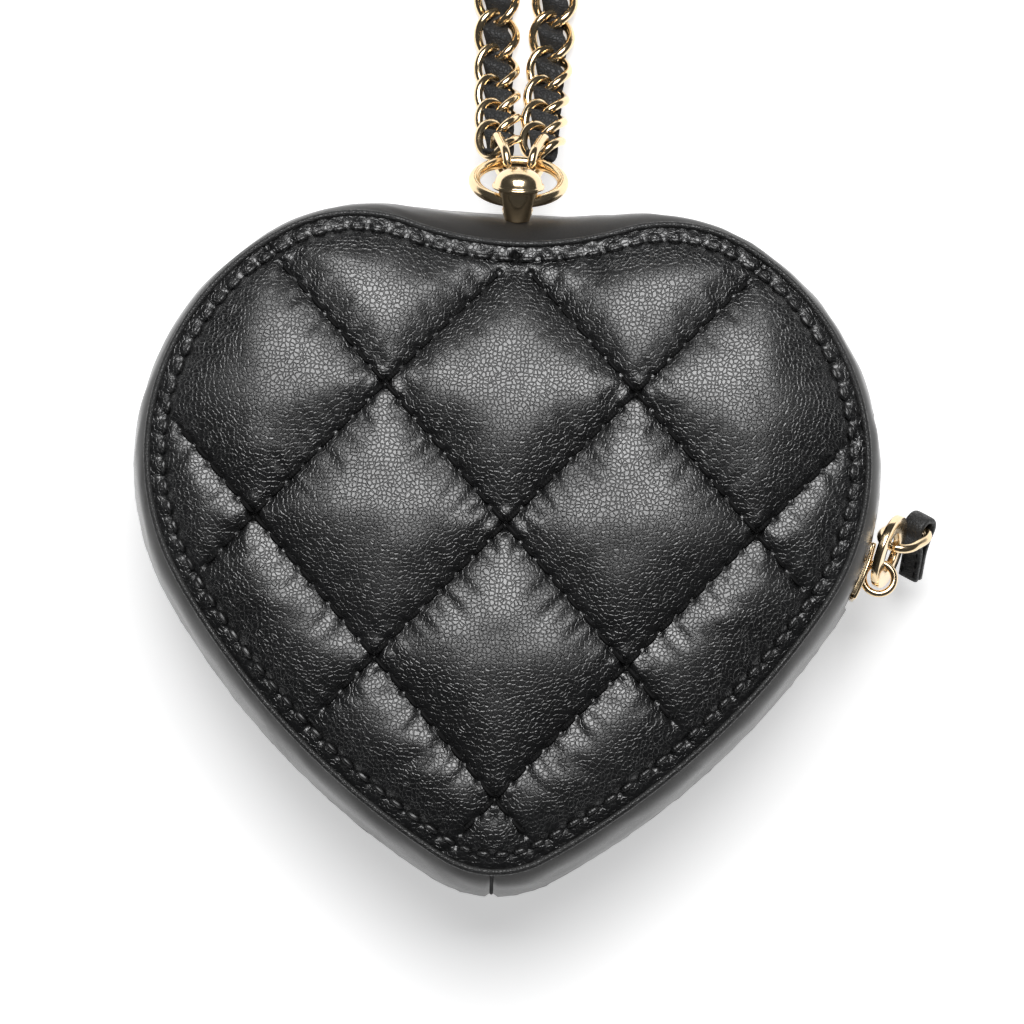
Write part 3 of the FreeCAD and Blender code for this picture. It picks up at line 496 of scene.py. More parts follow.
END_SPREAD, END_SPLAY, END_LENGTH, END_WIDTH, DROOP = 2.4, 15.0, 9.8, 6.4, radians(52.0)
end_dir = np.array([0.0, cos(DROOP), -sin(DROOP)])
end_copies = []
for side in (1, -1):
    points, end_faces = oval_link(END_LENGTH, END_WIDTH, LINK_WIRE, RING_HOOK + X_DIR * side * END_SPREAD,
                                  turn_from(end_dir, X_DIR, side * END_SPLAY),
                                  turn_from(X_DIR, end_dir, -side * END_SPLAY))
    end_copies.append(points)
end_links = place_piece(many("chain_end_links_gold", end_copies, end_faces, gold_plate), "strap",
                        "gold_metal", "chain_end_links")


# Heart outline: five tangent arcs on each side of the axis

SIDE_X, SIDE_Y, SIDE_R, LOBE_JOIN, LOBE_R, NOTCH_R = 15.5, 13.6, 38.4, 60.0, 23.0, 50.0
LOW_JOIN, LOWER_R, TIP_R, TIP_LEAST = -32.0, 118.0, 15.0, 0.8
BULGE, LOBE_SWELL, NOTCH_SWELL = 2.8, 10.0, 120.0
ZIP_LOW, ZIP_HIGH, MOUTH_HALF = -28.0, 57.0, 3.6
NOTCH_STEPS, LOBE_STEPS, ZIP_STEPS, LOWER_STEPS, TIP_STEPS = 15, 31, 63, 49, 11
SIDE_TURNS = np.concatenate([[LOBE_JOIN], np.linspace(ZIP_HIGH, ZIP_LOW, ZIP_STEPS), [LOW_JOIN]])


def half_outline(swell=0.0, inset=0.0):
    """Points of the right half of the heart, from the bottom of the notch to the tip."""
    side_r = SIDE_R + BULGE * swell - inset
    lobe_r = LOBE_R + LOBE_SWELL * swell - inset
    notch_r = NOTCH_R + NOTCH_SWELL * swell + inset
    lower_r = LOWER_R + BULGE * swell - inset
    tip_r = max(TIP_R + BULGE * swell - inset, TIP_LEAST)
    side = np.array([SIDE_X, SIDE_Y])
    lobe = side + polar(LOBE_JOIN)[:2] * (side_r - lobe_r)
    lower = side - polar(LOW_JOIN)[:2] * (lower_r - side_r)
    notch = np.array([0.0, lobe[1] + sqrt((lobe_r + notch_r) ** 2 - lobe[0] ** 2)])
    tip = np.array([0.0, lower[1] - sqrt((lower_r - tip_r) ** 2 - lower[0] ** 2)])
    at_notch = degrees(atan2(*(notch - lobe)[::-1]))
    at_tip = degrees(atan2(*(tip - lower)[::-1]))
    runs = (
        (notch, notch_r, np.linspace(-90.0, at_notch - 180.0, NOTCH_STEPS)),
        (lobe, lobe_r, np.linspace(at_notch, LOBE_JOIN, LOBE_STEPS)),
        (side, side_r, SIDE_TURNS),
        (lower, lower_r, np.linspace(LOW_JOIN, at_tip, LOWER_STEPS)),
        (tip, tip_r, np.linspace(at_tip, -90.0, TIP_STEPS)),
    )
    points = [notch + notch_r * polar(-90.0)[:2]]
    for centre, radius, turns in runs:
        points += [centre + radius * polar(t)[:2] for t in turns[1:]]
    points = np.array(points)
    points[0, 0] = points[-1, 0] = 0.0
    return points


def outline(swell=0.0, inset=0.0):
    """Closed outline from the bottom of the notch, down the right-hand side and up the left."""
    half = half_outline(swell, inset)
    return np.concatenate([half, (half * np.array([-1.0, 1.0]))[-2:0:-1]])


def from_outline(points, loop):
    """Distance of points inside a closed line (negative outside), and how far along the line they are."""
    ends = np.roll(loop, -1, axis=0)
    step = ends - loop
    length = norm(step, axis=1)
    start_at = lengths_along(step)
    distance, along, inside = [], [], []
    for part in np.array_split(points, max(1, len(points) // 2000)):
        offset = part[:, None, :] - loop[None]
        share = np.clip((offset * step).sum(2) / length ** 2, 0.0, 1.0)
        gap = norm(offset - share[..., None] * step, axis=2)
        nearest = gap.argmin(1)
        rows = np.arange(len(part))
        distance.append(gap[rows, nearest])
        along.append(start_at[nearest] + share[rows, nearest] * length[nearest])
        y = part[:, 1][:, None]
        spans = (loop[:, 1] > y) != (ends[:, 1] > y)
        with np.errstate(divide="ignore", invalid="ignore"):
            cross = loop[:, 0] + (y - loop[:, 1]) / step[:, 1] * step[:, 0]
        inside.append((spans & (part[:, 0][:, None] < cross)).sum(1) % 2 == 1)
    distance, inside = np.concatenate(distance), np.concatenate(inside)
    return np.where(inside, distance, -distance), np.concatenate(along)


# Quilted panels: leather over wadding, held down along the sewn lines and inside the edge

QUILT_W, QUILT_L, QUILT_Y = 18.5, 20.2, 3.3
DIAMOND_SIDE = hypot(QUILT_W, QUILT_L)
LINE_GAP = 2 * QUILT_W * QUILT_L / DIAMOND_SIDE
CELLS, STITCHES = 24, 8
LATTICE_LOW, LATTICE_HIGH = -2, 2.2
EDGE_Z, PANEL_INSET, MARGIN = MID_Z + HALF_DEPTH, 0.7, 2.2
SEWN = (-1, 0, 1)
PUFF, PUFF_POWER, PUFF_RUN, EDGE_RISE, EDGE_ROLL, TOP_PITCH = 1.25, 3.6, 9.0, 0.6, 0.2, 3.2
DOME, DOME_REACH, DOME_POWER = 4.4, 30.0, 2.4
NOTCH_DIP, NOTCH_DIP_R = 0.55, 15.0
TIP_FROM, TIP_RUN, TIP_DIP, TIP_STEEPER = 2.0, 44.0, 0.2, 0.35
GRID_CLEAR, HELD_HALF = 0.25, 0.2
CLOTH_SCALE, CLOTH_FRAMES = 25.0, 26
CLOTH = {
    "quality": 6, "mass": 0.4, "tension_stiffness": 20.0, "compression_stiffness": 20.0,
    "shear_stiffness": 8.0, "bending_stiffness": 1.2, "vertex_group_mass": "held", "pin_stiffness": 1.0,
    "use_pressure": True, "uniform_pressure_force": 3.0, "shrink_min": -0.012, "air_damping": 4.0,
}
panel_edge = outline(inset=PANEL_INSET)
edge_steps = np.roll(panel_edge, -1, axis=0) - panel_edge
edge_at = lengths_along(edge_steps)
top_count = int(round(edge_at[-1] / TOP_PITCH))


def smooth_step(value):
    value = np.clip(value, 0.0, 1.0)
    return value * value * (3 - 2 * value)


def crowned(share):
    """Rise from 0 to 1, steep at first and level at the top."""
    return 1 - (1 - np.clip(share, 0.0, 1.0)) ** PUFF_POWER


def lattice(points):
    """Quilt coordinates of points: whole numbers from -1 to 1 lie on sewn lines."""
    across, along = points[:, 0] / QUILT_W, (points[:, 1] - QUILT_Y) / QUILT_L
    return (along + across) / 2, (along - across) / 2


def from_lattice(p, q):
    return QUILT_W * (p - q), QUILT_Y + QUILT_L * (p + q)


def line_distance(lattice_value):
    return np.min([np.abs(lattice_value - n) for n in SEWN], axis=0) * LINE_GAP


def seam_height(flat, edge_distance):
    """Level of the seams: a dome that falls away to the edge, and more so to the notch and the tip."""
    from_notch = norm(flat - panel_edge[0], axis=1)
    to_tip = smooth_step((TIP_FROM - flat[:, 1]) / TIP_RUN)
    crown = DOME * (1 - NOTCH_DIP * np.exp(-(from_notch / NOTCH_DIP_R) ** 2)) * (1 - TIP_DIP * to_tip)
    reach = DOME_REACH * (1 - TIP_STEEPER * to_tip)
    return EDGE_Z + EDGE_RISE + crown * (1 - (1 - np.clip(edge_distance / reach, 0, 1)) ** DOME_POWER)


def face_edges(face):
    return zip(face, face[1:] + face[:1])


def rim_edges(faces):
    """Directed edges that only one face uses."""
    edges = {edge for f in faces for edge in face_edges(f)}
    return {(a, b) for a, b in edges if (b, a) not in edges}


def panel_grid():
    """Quads along the quilt's own lines, cut to the panel's outline: points, faces, points of the rim."""
    span = np.arange(LATTICE_LOW * CELLS, int(LATTICE_HIGH * CELLS) + 1)
    p, q = np.meshgrid(span / CELLS, span / CELLS, indexing="ij")
    flat = np.column_stack(from_lattice(p.ravel(), q.ravel()))
    inside = from_outline(flat, panel_edge)[0] > GRID_CLEAR
    faces = [f[::-1] for f in grid_faces(len(span), len(span)) if all(inside[i] for i in f)]
    while True:
        open_edges = rim_edges(faces)
        meeting = Counter(i for edge in open_edges for i in edge)
        loose = set()
        for f in faces:
            open_sides = sum(edge in open_edges for edge in face_edges(f))
            if open_sides > 2 or (open_sides > 1 and any(meeting[i] > 2 for i in f)):
                loose.add(f)
        if not loose:
            break
        faces = [f for f in faces if f not in loose]
    used = sorted({i for f in faces for i in f})
    number = {old: new for new, old in enumerate(used)}
    faces = [tuple(number[i] for i in f) for f in faces]
    flat = flat[used]
    rim = sorted({i for edge in rim_edges(faces) for i in edge})
    for i in rim:
        share = ((flat[i] - panel_edge) * edge_steps).sum(1) / (edge_steps ** 2).sum(1)
        near = panel_edge + np.clip(share, 0.0, 1.0)[:, None] * edge_steps
        flat[i] = near[norm(near - flat[i], axis=1).argmin()]
    return flat, faces, rim


def quilt_shape():
    """Points and quads of the front panel's top before it is blown up, and which points the thread holds."""
    flat, faces, rim = panel_grid()
    distance, _ = from_outline(flat, panel_edge)
    distance[rim] = 0.0
    to_p, to_q = (line_distance(value) for value in lattice(flat))
    hold_line = np.minimum(to_p, to_q) < HELD_HALF
    hold_edge = distance < MARGIN
    rise_line = crowned(to_p / (LINE_GAP / 2)) * crowned(to_q / (LINE_GAP / 2))
    rise_edge = crowned((distance - MARGIN) / PUFF_RUN)
    roll = np.where(hold_edge, EDGE_ROLL * np.sin(np.pi * np.clip(distance / MARGIN, 0, 1)), 0.0)
    height = seam_height(flat, distance) + PUFF * rise_line * rise_edge + roll
    height[rim] = EDGE_Z + EDGE_RISE
    return np.column_stack([flat, height]), faces, hold_line | hold_edge


def inflate(points, faces, held):
    """Blows the leather up between its seams with a cloth simulation, and gives its points."""
    obj = new_mesh("quilt_cloth", points * CLOTH_SCALE, faces, None)
    group = obj.vertex_groups.new(name="held")
    group.add([int(i) for i in np.nonzero(held)[0]], 1.0, "REPLACE")
    cloth = obj.modifiers.new("cloth", "CLOTH")
    for key, value in CLOTH.items():
        setattr(cloth.settings, key, value)
    cloth.settings.effector_weights.gravity = 0.0
    cloth.point_cache.frame_start, cloth.point_cache.frame_end = 1, CLOTH_FRAMES
    for frame_number in range(1, CLOTH_FRAMES + 1):
        scene.frame_set(frame_number)
    blown = settled(obj)[0] / CLOTH_SCALE
    scene.frame_set(1)
    return blown


def refined(points, faces):
    obj = new_mesh("quilt_fine", points, faces, None)
    obj.modifiers.new("fine", "SUBSURF").levels = 2
    return settled(obj)


# Depth and half-width of the marks that sewing leaves in the leather
NEEDLE_HOLE, LINE_GROOVE, LINE_PUCKER, CROSSING = (0.42, 0.55), (0.16, 0.5), (0.24, 3.2), (0.55, 0.8)
EDGE_GROOVE, EDGE_HOLE, EDGE_PUCKER = (0.3, 0.5), (0.25, 0.5), (0.26, 2.4)
BEAD_LIFT, BEAD_SWING, BEAD_AT, BEAD_HALF = 0.12, 0.2, 0.78 * MARGIN, 0.45
SOFTNESS, SOFT_SCALE, SOFT_FROM_SEAM = 0.16, 0.16, 5.0


def bell(gap, half):
    return np.exp(-(gap / half) ** 2)


def mark(gap, shape):
    depth, half = shape
    return depth * bell(gap, half)


def sewn_in(points):
    """Lowers the leather at the needle holes and under the thread, and puckers it beside the seams."""
    flat = points[:, :2]
    p, q = lattice(flat)
    drop = np.zeros(len(points))
    for value, other in ((p, q), (q, p)):
        gap = line_distance(value)
        hole = np.abs(other * STITCHES - np.round(other * STITCHES)) * DIAMOND_SIDE / STITCHES
        drop -= mark(np.hypot(gap, hole), NEEDLE_HOLE) + mark(gap, LINE_GROOVE)
        ripple = noise_at(other * DIAMOND_SIDE / 1.5, gap / 7.0, 3.0 * np.round(value))
        drop += ripple * mark(gap, LINE_PUCKER)
    drop -= mark(np.hypot(line_distance(p), line_distance(q)), CROSSING)
    distance, along = from_outline(flat, panel_edge)
    seam = distance - MARGIN
    bead = -np.cos(2 * np.pi * along * top_count / edge_at[-1])
    drop -= mark(seam, EDGE_GROOVE) + np.clip(-bead, 0, 1) * mark(seam, EDGE_HOLE)
    drop += (BEAD_LIFT + BEAD_SWING * bead) * bell(distance - BEAD_AT, BEAD_HALF)
    ripple = noise_at(along / 1.7, distance / 6.0, 11.0)
    drop += ripple * mark(seam, EDGE_PUCKER) * smooth_step(distance)
    drop += SOFTNESS * noise_at(*(flat.T * SOFT_SCALE), 5.0) * smooth_step(seam / SOFT_FROM_SEAM)
    return points + np.outer(drop, Z_DIR)


UNDERSIDE, TABLE_SOFT = 0.1, 1.2


def closed_panel(name, points, faces, side):
    """Front (1) or back (-1) panel with a flat underside. The table flattens the back's crowns."""
    follow = dict(rim_edges(faces))
    first = min(follow)
    rim, here = [first], follow[first]
    while here != first:
        rim.append(here)
        here = follow[here]
    base, count = len(points), len(rim)
    shape = np.concatenate([points, points[rim]])
    shape[base:, 2] = EDGE_Z + UNDERSIDE
    everything = list(faces)
    for k in range(count):
        n = (k + 1) % count
        everything.append((rim[n], rim[k], base + k, base + n))
    everything.append(tuple(reversed(range(base, base + count))))
    if side < 0:
        shape[:, 2] = 2 * MID_Z - shape[:, 2]
        rest = shape[:, 2] < TABLE_SOFT
        shape[rest, 2] = TABLE_SOFT * np.exp((shape[rest, 2] - TABLE_SOFT) / TABLE_SOFT)
        everything = [f[::-1] for f in everything]
    return new_mesh(name, shape, everything, panel_leather)


shape, quads, held = quilt_shape()
shape = inflate(shape, quads, held)
shape, quads = refined(shape, quads)
shape = sewn_in(shape)
panels = [place_piece(closed_panel(end + "_quilt", shape, quads, side), "purse", "panel_leather",
                      end + "_panel_leather", end + "_wadding") for end, side in ENDS]


# Stitches on the panels. Of each kind: radius, share of the pitch, and lift above the front panel.

QUILT_STITCH, EDGE_STITCH = (0.35, 0.84, 0.14), (0.4, 0.8, 0.24)
QUILT_CLEAR, RAY_FROM = 0.4, 0.2


def capsule(rings=7, around=6):
    """Unit stitch along X from -0.5 to 0.5. A fourth column says how far each point is drawn down."""
    points = []
    for share in np.linspace(-1.0, 1.0, rings):
        thick = sqrt(max(1 - abs(share) ** 3, 0.04))
        for k in range(around):
            turn = 2 * pi * k / around
            points.append((share * 0.5, thick * cos(turn), thick * sin(turn), share ** 4))
    return np.array(points), capped_faces(rings, around)


stitch_points, stitch_faces = capsule()


def stitch(start, end, radius, top, dip=0.35):
    """Stitch between two needle holes, lying on a surface whose outward direction is top."""
    length = norm(end - start)
    along = (end - start) / length
    side = unit(np.cross(top, along))
    rise = np.cross(along, side)
    x, y, z, drawn = stitch_points.T
    return ((start + end) / 2 + np.outer(x * length, along) + radius * np.outer(y, side)
            + np.outer(radius * z - dip * drawn, rise))


def panel_stitches(obj, side):
    """Stitches of the quilting lines and of the row inside the edge."""
    tree = BVHTree.FromPolygons([v.co[:] for v in obj.data.vertices],
                                [p.vertices[:] for p in obj.data.polygons])

    def sew(copies, a, b, radius, share, lift):
        middle = (a + b) / 2
        hit = tree.ray_cast(Vector((*(middle * MM), side * RAY_FROM)), Vector((0, 0, -side)))[0]
        if hit is None:
            return
        level = hit.z / MM + (lift if side > 0 else 0.0)
        ends = [np.array([*(middle + (end - middle) * share), level]) for end in (a, b)]
        copies.append(stitch(*ends, radius, Z_DIR * side))

    quilting, edging = [], []
    marks = np.arange(LATTICE_LOW * STITCHES, int(LATTICE_HIGH * STITCHES)) / STITCHES
    for line in SEWN:
        for swap in (False, True):
            for start in marks:
                at = np.array([start, start + 1 / STITCHES])
                spots = np.column_stack(from_lattice(at, line) if swap else from_lattice(line, at))
                if from_outline(spots, panel_edge)[0].min() > MARGIN + QUILT_CLEAR:
                    sew(quilting, *spots, *QUILT_STITCH)
    outward = left_of(edge_steps)
    outward = outward + np.roll(outward, 1, axis=0)
    seam = panel_edge - outward / norm(outward, axis=1)[:, None] * MARGIN
    marks = np.linspace(0.0, edge_at[-1], top_count + 1)
    spots = np.column_stack([np.interp(marks, edge_at, np.append(seam[:, k], seam[0, k])) for k in (0, 1)])
    for a, b in zip(spots[:-1], spots[1:]):
        sew(edging, a, b, *EDGE_STITCH)
    return quilting, edging


for (end, side), panel in zip(ENDS, panels):
    quilting, edging = panel_stitches(panel, side)
    place_piece(many(end + "_quilt_thread", quilting, stitch_faces, thread), "purse", "panel_leather")
    place_piece(many(end + "_edge_thread", edging, stitch_faces, waxed_thread), "purse", "panel_leather")


# Rolled edges

ROLLED_INSET, ROLLED_RISE, ROLLED_R, ROLLED_WOBBLE, ROLLED_SCALE = 0.45, 0.5, 0.52, 0.05, 0.35


def rolled_edge(name, side):
    loop = outline(inset=ROLLED_INSET)
    wobble = ROLLED_WOBBLE * noise_at(*(loop.T * ROLLED_SCALE), 20.0 + side)
    level = MID_Z + side * (HALF_DEPTH + ROLLED_RISE) + wobble
    return new_mesh(name, *closed_tube(np.column_stack([loop, level]), ROLLED_R, 12, Z_DIR), edge_leather)


for end, side in ENDS:
    place_piece(rolled_edge(end + "_rolled_edge", side), "purse", "edge_leather", end + "_edge_binding")


# Gussets: soft bands that meet in a seam at mid-depth, open along the zip

LEATHER = 1.2
MOUTH_SHARE = MOUTH_HALF / HALF_DEPTH
GUSSET_ROWS = np.array([0.0, 0.02, 0.05, 0.1, 0.16, MOUTH_SHARE, 0.29, 0.35, 0.42, 0.49, 0.56, 0.63, 0.7,
                        0.77, 0.84, 0.9, 0.95, 0.985, 1.0])
FOLD, SLACK, MOST_OUT = 0.3, 0.2, 0.25
MID_SEAM, TIP_SEAM, TIP_SEAM_FADE = (0.55, 0.03), (0.7, 0.55), 0.6
EDGE_PUCKERS, MID_PUCKERS = (0.93, (0.22, 0.08)), (0.06, (0.18, 0.07))
TIP_THREAD_R, TIP_THREAD_OUT = 0.3, 0.1
ZIP_SEAM_OUT, ZIP_SEAM_SINK, ZIP_PITCH, ZIP_STITCH_GAP, ZIP_STITCH_R = 1.5, 0.45, 3.0, 0.08, 0.25


def gusset_point_rows(side):
    """Rows of points from the middle seam (0) to the panel's edge (1), with folds, seams and puckers."""
    rows = []
    for share in GUSSET_ROWS:
        loop = outline(swell=1 - share ** 2)
        outward = left_of(np.roll(loop, -1, axis=0) - np.roll(loop, 1, axis=0))
        along = lengths_along(np.diff(loop, axis=0))
        from_tip = along - along[np.argmin(loop[:, 1])]
        folds = (noise_at(along / 9.0, share * 2.2 * side, 31.0)
                 + 0.5 * noise_at(along / 3.5, share * 1.6 * side, 47.0))
        soft = sin(pi * min(max((share - 0.02) / 0.96, 0.0), 1.0)) ** 0.7
        move = FOLD * folds * soft - SLACK * soft - mark(share, MID_SEAM)
        move -= mark(from_tip, TIP_SEAM) * (1 - TIP_SEAM_FADE * share ** 4)
        puckers = noise_at(along / 1.6, share * 3.0, 53.0 + side)
        for at, shape in (EDGE_PUCKERS, MID_PUCKERS):
            move += puckers * mark(share - at, shape)
        loop = loop + outward * np.minimum(move, MOST_OUT)[:, None]
        rows.append(np.column_stack([loop, np.full(len(loop), MID_Z + side * HALF_DEPTH * share)]))
    return np.array(rows)


gusset_rows = {side: gusset_point_rows(side) for _, side in ENDS}


def gusset(name, side, near=0.01):
    """One band, with an opening for the zip."""
    rows = gusset_rows[side]
    base = outline()
    turns = np.degrees(np.arctan2(base[:, 1] - SIDE_Y, base[:, 0] - SIDE_X))
    on_zip = (base[:, 0] > SIDE_X) & (turns > ZIP_LOW - near) & (turns < ZIP_HIGH + near)
    in_mouth = ((GUSSET_ROWS <= MOUTH_SHARE)[:, None] & on_zip).ravel()
    faces = [f if side < 0 else f[::-1] for f in grid_faces(*rows.shape[:2], close_columns=True)
             if not all(in_mouth[i] for i in f)]
    obj = new_mesh(name, rows.reshape(-1, 3), faces, gusset_leather)
    thick = obj.modifiers.new("thickness", "SOLIDIFY")
    thick.thickness = LEATHER * MM
    thick.offset = -1.0
    return obj


for end, side in ENDS:
    place_piece(gusset(end + "_gusset_leather", side), "purse", "gusset_leather", end + "_gusset")


def tip_seam(name, around=8):
    """Closed seam across both gussets at the tip, down in its groove."""
    tip = np.argmin(outline()[:, 1])
    centres = np.concatenate([gusset_rows[-1][::-1, tip], gusset_rows[1][1:, tip]])
    centres[:, 1] -= TIP_THREAD_OUT
    points = tube(centres, TIP_THREAD_R, around, X_DIR, closed=False)
    return new_mesh(name, points, grid_faces(len(centres), around, close_columns=True), thread)


place_piece(tip_seam("tip_seam_thread"), "purse", "gusset_leather")


def zip_seam_stitches(name):
    copies = []
    level = MOUTH_HALF + ZIP_SEAM_OUT
    radius = SIDE_R + BULGE * (1 - (level / HALF_DEPTH) ** 2) - ZIP_SEAM_SINK
    count = int(radians(ZIP_HIGH - ZIP_LOW) * radius / ZIP_PITCH)
    marks = np.linspace(ZIP_LOW, ZIP_HIGH, count + 1)
    for side in (1, -1):
        centre = np.array([SIDE_X, SIDE_Y, MID_Z + side * level])
        for a, b in zip(marks[:-1], marks[1:]):
            gap = ZIP_STITCH_GAP * (b - a)
            ends = [centre + radius * polar(turn) for turn in (a + gap, b - gap)]
            copies.append(stitch(*ends, ZIP_STITCH_R, polar((a + b) / 2)))
    return many(name, copies, stitch_faces, thread)


place_piece(zip_seam_stitches("zip_seam_thread"), "purse", "gusset_leather")


# Turned metal pieces

def lathe(profile, origin, x_dir, z_dir, segments=72, closed=False):
    """Points and faces of a profile of (radius, height) turned about an axis."""
    y_dir = np.cross(z_dir, x_dir)
    points = [circle(origin, radius, x_dir, y_dir, segments) + height * z_dir for radius, height in profile]
    count = len(profile)
    faces = grid_faces(count, segments, True, True) if closed else capped_faces(count, segments)
    return np.concatenate(points), faces


def cut_through(obj, tool):
    """Takes one closed mesh out of another, and drops the tool."""
    step = obj.modifiers.new("cut", "BOOLEAN")
    step.operation, step.object, step.solver = "DIFFERENCE", tool, "EXACT"
    mesh = final_mesh(obj)
    obj.modifiers.clear()
    old, obj.data = obj.data, mesh
    bpy.data.meshes.remove(old)
    bpy.data.objects.remove(tool)
    smooth_faces(mesh)


STUD_FOOT, EYE = np.array([0.0, 50.3902, 29.4131]), np.array([0.0, 53.0025, 30.6725])
EYE_R, EYE_REACH = 1.5, 6.0
STUD_PROFILE = [
    (1.1, 0.0), (1.75, 0.0), (1.88, 0.08), (1.94, 0.25), (2.02, 0.5), (2.24, 1.1), (2.5, 2.0), (2.74, 3.0),
    (2.9, 3.9), (2.98, 4.45), (3.06, 4.76), (3.28, 4.92), (3.66, 4.97), (3.9, 5.07), (3.96, 5.25),
    (3.93, 5.43), (3.82, 5.55), (3.7, 5.61), (3.64, 5.69), (3.6, 5.85), (3.46, 6.31), (3.22, 6.75),
    (2.86, 7.15), (2.42, 7.49), (1.88, 7.76), (1.28, 7.95), (0.64, 8.06), (0.12, 8.09),
]
stud_axis = unit(EYE - STUD_FOOT)
stud = new_mesh("stud_gold", *lathe(STUD_PROFILE, STUD_FOOT, X_DIR, stud_axis), gold_plate)
hole = lathe([(EYE_R, -EYE_REACH), (EYE_R, EYE_REACH)], EYE, stud_axis, X_DIR, segments=40)
cut_through(stud, new_mesh("stud_hole", *hole, gold_plate))
place_piece(stud, "purse", "gold_metal", "ring_stud")

RING_R, RING_WIRE, RING_PLAY = 6.7, 0.9, 0.2
ring_line = circle(EYE + end_dir * (RING_R - RING_PLAY), RING_R, X_DIR, end_dir, 96)
ring = closed_tube(ring_line, RING_WIRE, 18, np.cross(X_DIR, end_dir))
place_piece(new_mesh("strap_ring_gold", *ring, gold_plate), "stud_ring", "gold_metal", "strap_ring")


# Slider and its pull

ZIP_CENTRE = np.array([SIDE_X, SIDE_Y, MID_Z])
SLIDER_AT, SLIDER_HALF = -19.024, 6.371
TAPE_TOP, TOOTH_TOP = 39.2694, 40.4694
PLATE_LOW, PLATE_TOP, TAPE_LOW = TOOTH_TOP + 0.4, TOOTH_TOP + 1.2, TAPE_TOP - 1.0
PLATE_T, PLATE_HALF, FLANGE_IN, POST_HALF, POST_LENGTH, SUNK = 0.8, 3.2, 2.5, 0.25, 2.37, 0.4
FLANGE_CLEAR, FLANGE_SHORT = 0.6, 0.8
BRIDGE_R, BRIDGE_WIRE, BRIDGE_SUNK = 2.35, 0.55, 0.9
out_dir = polar(SLIDER_AT)
up_dir = np.cross(Z_DIR, out_dir)


def curved_block(name, inner, outer, low, high, start, end, bevel, taper=0.0, cuts=8):
    """Bevelled block bent about the zip's centre; taper narrows its two ends."""
    mesh = bpy.data.meshes.new(name)
    bm = bmesh.new()
    bmesh.ops.create_cube(bm, size=1.0)
    middle = (inner + outer) / 2
    length = radians(end - start) * middle
    scale = Vector((length, high - low, outer - inner))
    for v in bm.verts:
        v.co = v.co * scale
    bmesh.ops.bevel(bm, geom=bm.edges[:], offset=bevel, segments=3, profile=0.5, affect="EDGES")
    for k in range(1, cuts):
        bmesh.ops.bisect_plane(bm, geom=bm.verts[:] + bm.edges[:] + bm.faces[:],
                               plane_co=(length * (k / cuts - 0.5), 0, 0), plane_no=(1, 0, 0))
    for v in bm.verts:
        share = v.co.x / length + 0.5
        narrow = 1 - taper * smooth_step(abs(share - 0.45) * 1.8 - 0.2)
        place = ZIP_CENTRE + (middle + v.co.z) * polar(start + (end - start) * share)
        v.co = Vector((place + Z_DIR * ((low + high) / 2 + v.co.y * narrow)) * MM)
    bmesh.ops.recalc_face_normals(bm, faces=bm.faces[:])
    bm.to_mesh(mesh)
    bm.free()
    return add_object(name, mesh)


def joined(name, pieces, material):
    """One object from several meshes."""
    bm = bmesh.new()
    for piece in pieces:
        bm.from_mesh(piece.data)
        bpy.data.objects.remove(piece)
    mesh = bpy.data.meshes.new(name)
    bm.to_mesh(mesh)
    bm.free()
    mesh.materials.append(material)
    smooth_faces(mesh)
    return add_object(name, mesh)


low_turn, high_turn = SLIDER_AT - SLIDER_HALF, SLIDER_AT + SLIDER_HALF
plate = (-PLATE_HALF, PLATE_HALF, low_turn, high_turn)
flange = (TAPE_TOP + FLANGE_CLEAR, PLATE_LOW + SUNK)
flange_run = (low_turn + FLANGE_SHORT, high_turn - FLANGE_SHORT)
bridge_centre = ZIP_CENTRE + out_dir * (PLATE_TOP + BRIDGE_R + BRIDGE_WIRE - BRIDGE_SUNK)
bridge_line = circle(bridge_centre, BRIDGE_R, out_dir, up_dir, 48)
slider_pieces = [
    curved_block("plate_out", PLATE_LOW, PLATE_TOP, *plate, 0.35, taper=0.25),
    curved_block("plate_in", TAPE_LOW - PLATE_T, TAPE_LOW, *plate, 0.3, taper=0.2),
    curved_block("post", TAPE_LOW - SUNK, PLATE_LOW + SUNK, -POST_HALF, POST_HALF, low_turn,
                 low_turn + POST_LENGTH, 0.08),
    curved_block("flange_a", *flange, FLANGE_IN, PLATE_HALF, *flange_run, 0.15),
    curved_block("flange_b", *flange, -PLATE_HALF, -FLANGE_IN, *flange_run, 0.15),
    new_mesh("bridge", *closed_tube(bridge_line, BRIDGE_WIRE, 14, Z_DIR), gold_plate),
]
place_piece(joined("zip_slider_gold", slider_pieces, gold_plate), "slider", "gold_metal", "slider_body")

PULL_TIP, HOOK_TURN, LINK_LEAN = 17.0, 50.0, 15.0
PULL_IN, PULL_OUT, PULL_T, PULL_BEVEL = 3.0, 5.75, 1.2, 0.28
PULL_LINK_L, PULL_LINK_W = 9.5, 7.0
pull_dir = up_dir
pull_normal = turn_from(out_dir, Z_DIR, PULL_TIP)
pull_side = turn_from(Z_DIR, out_dir, -PULL_TIP)
pull_band = (PULL_IN + PULL_OUT) / 2
pull_centre = bridge_centre + pull_dir * pull_band
washer = []
for centre_r, level, first in ((PULL_OUT - PULL_BEVEL, -1, -90), (PULL_OUT - PULL_BEVEL, 1, 0),
                               (PULL_IN + PULL_BEVEL, 1, 90), (PULL_IN + PULL_BEVEL, -1, 180)):
    for turn in np.radians(np.linspace(first, first + 90, 5)):
        washer.append((centre_r + PULL_BEVEL * cos(turn),
                       level * (PULL_T / 2 - PULL_BEVEL) + PULL_BEVEL * sin(turn)))
pull_ring = lathe(washer, pull_centre, pull_dir, pull_normal, closed=True)
place_piece(new_mesh("pull_ring_gold", *pull_ring, gold_plate), "zip_pull_ring", "gold_metal", "pull_ring")

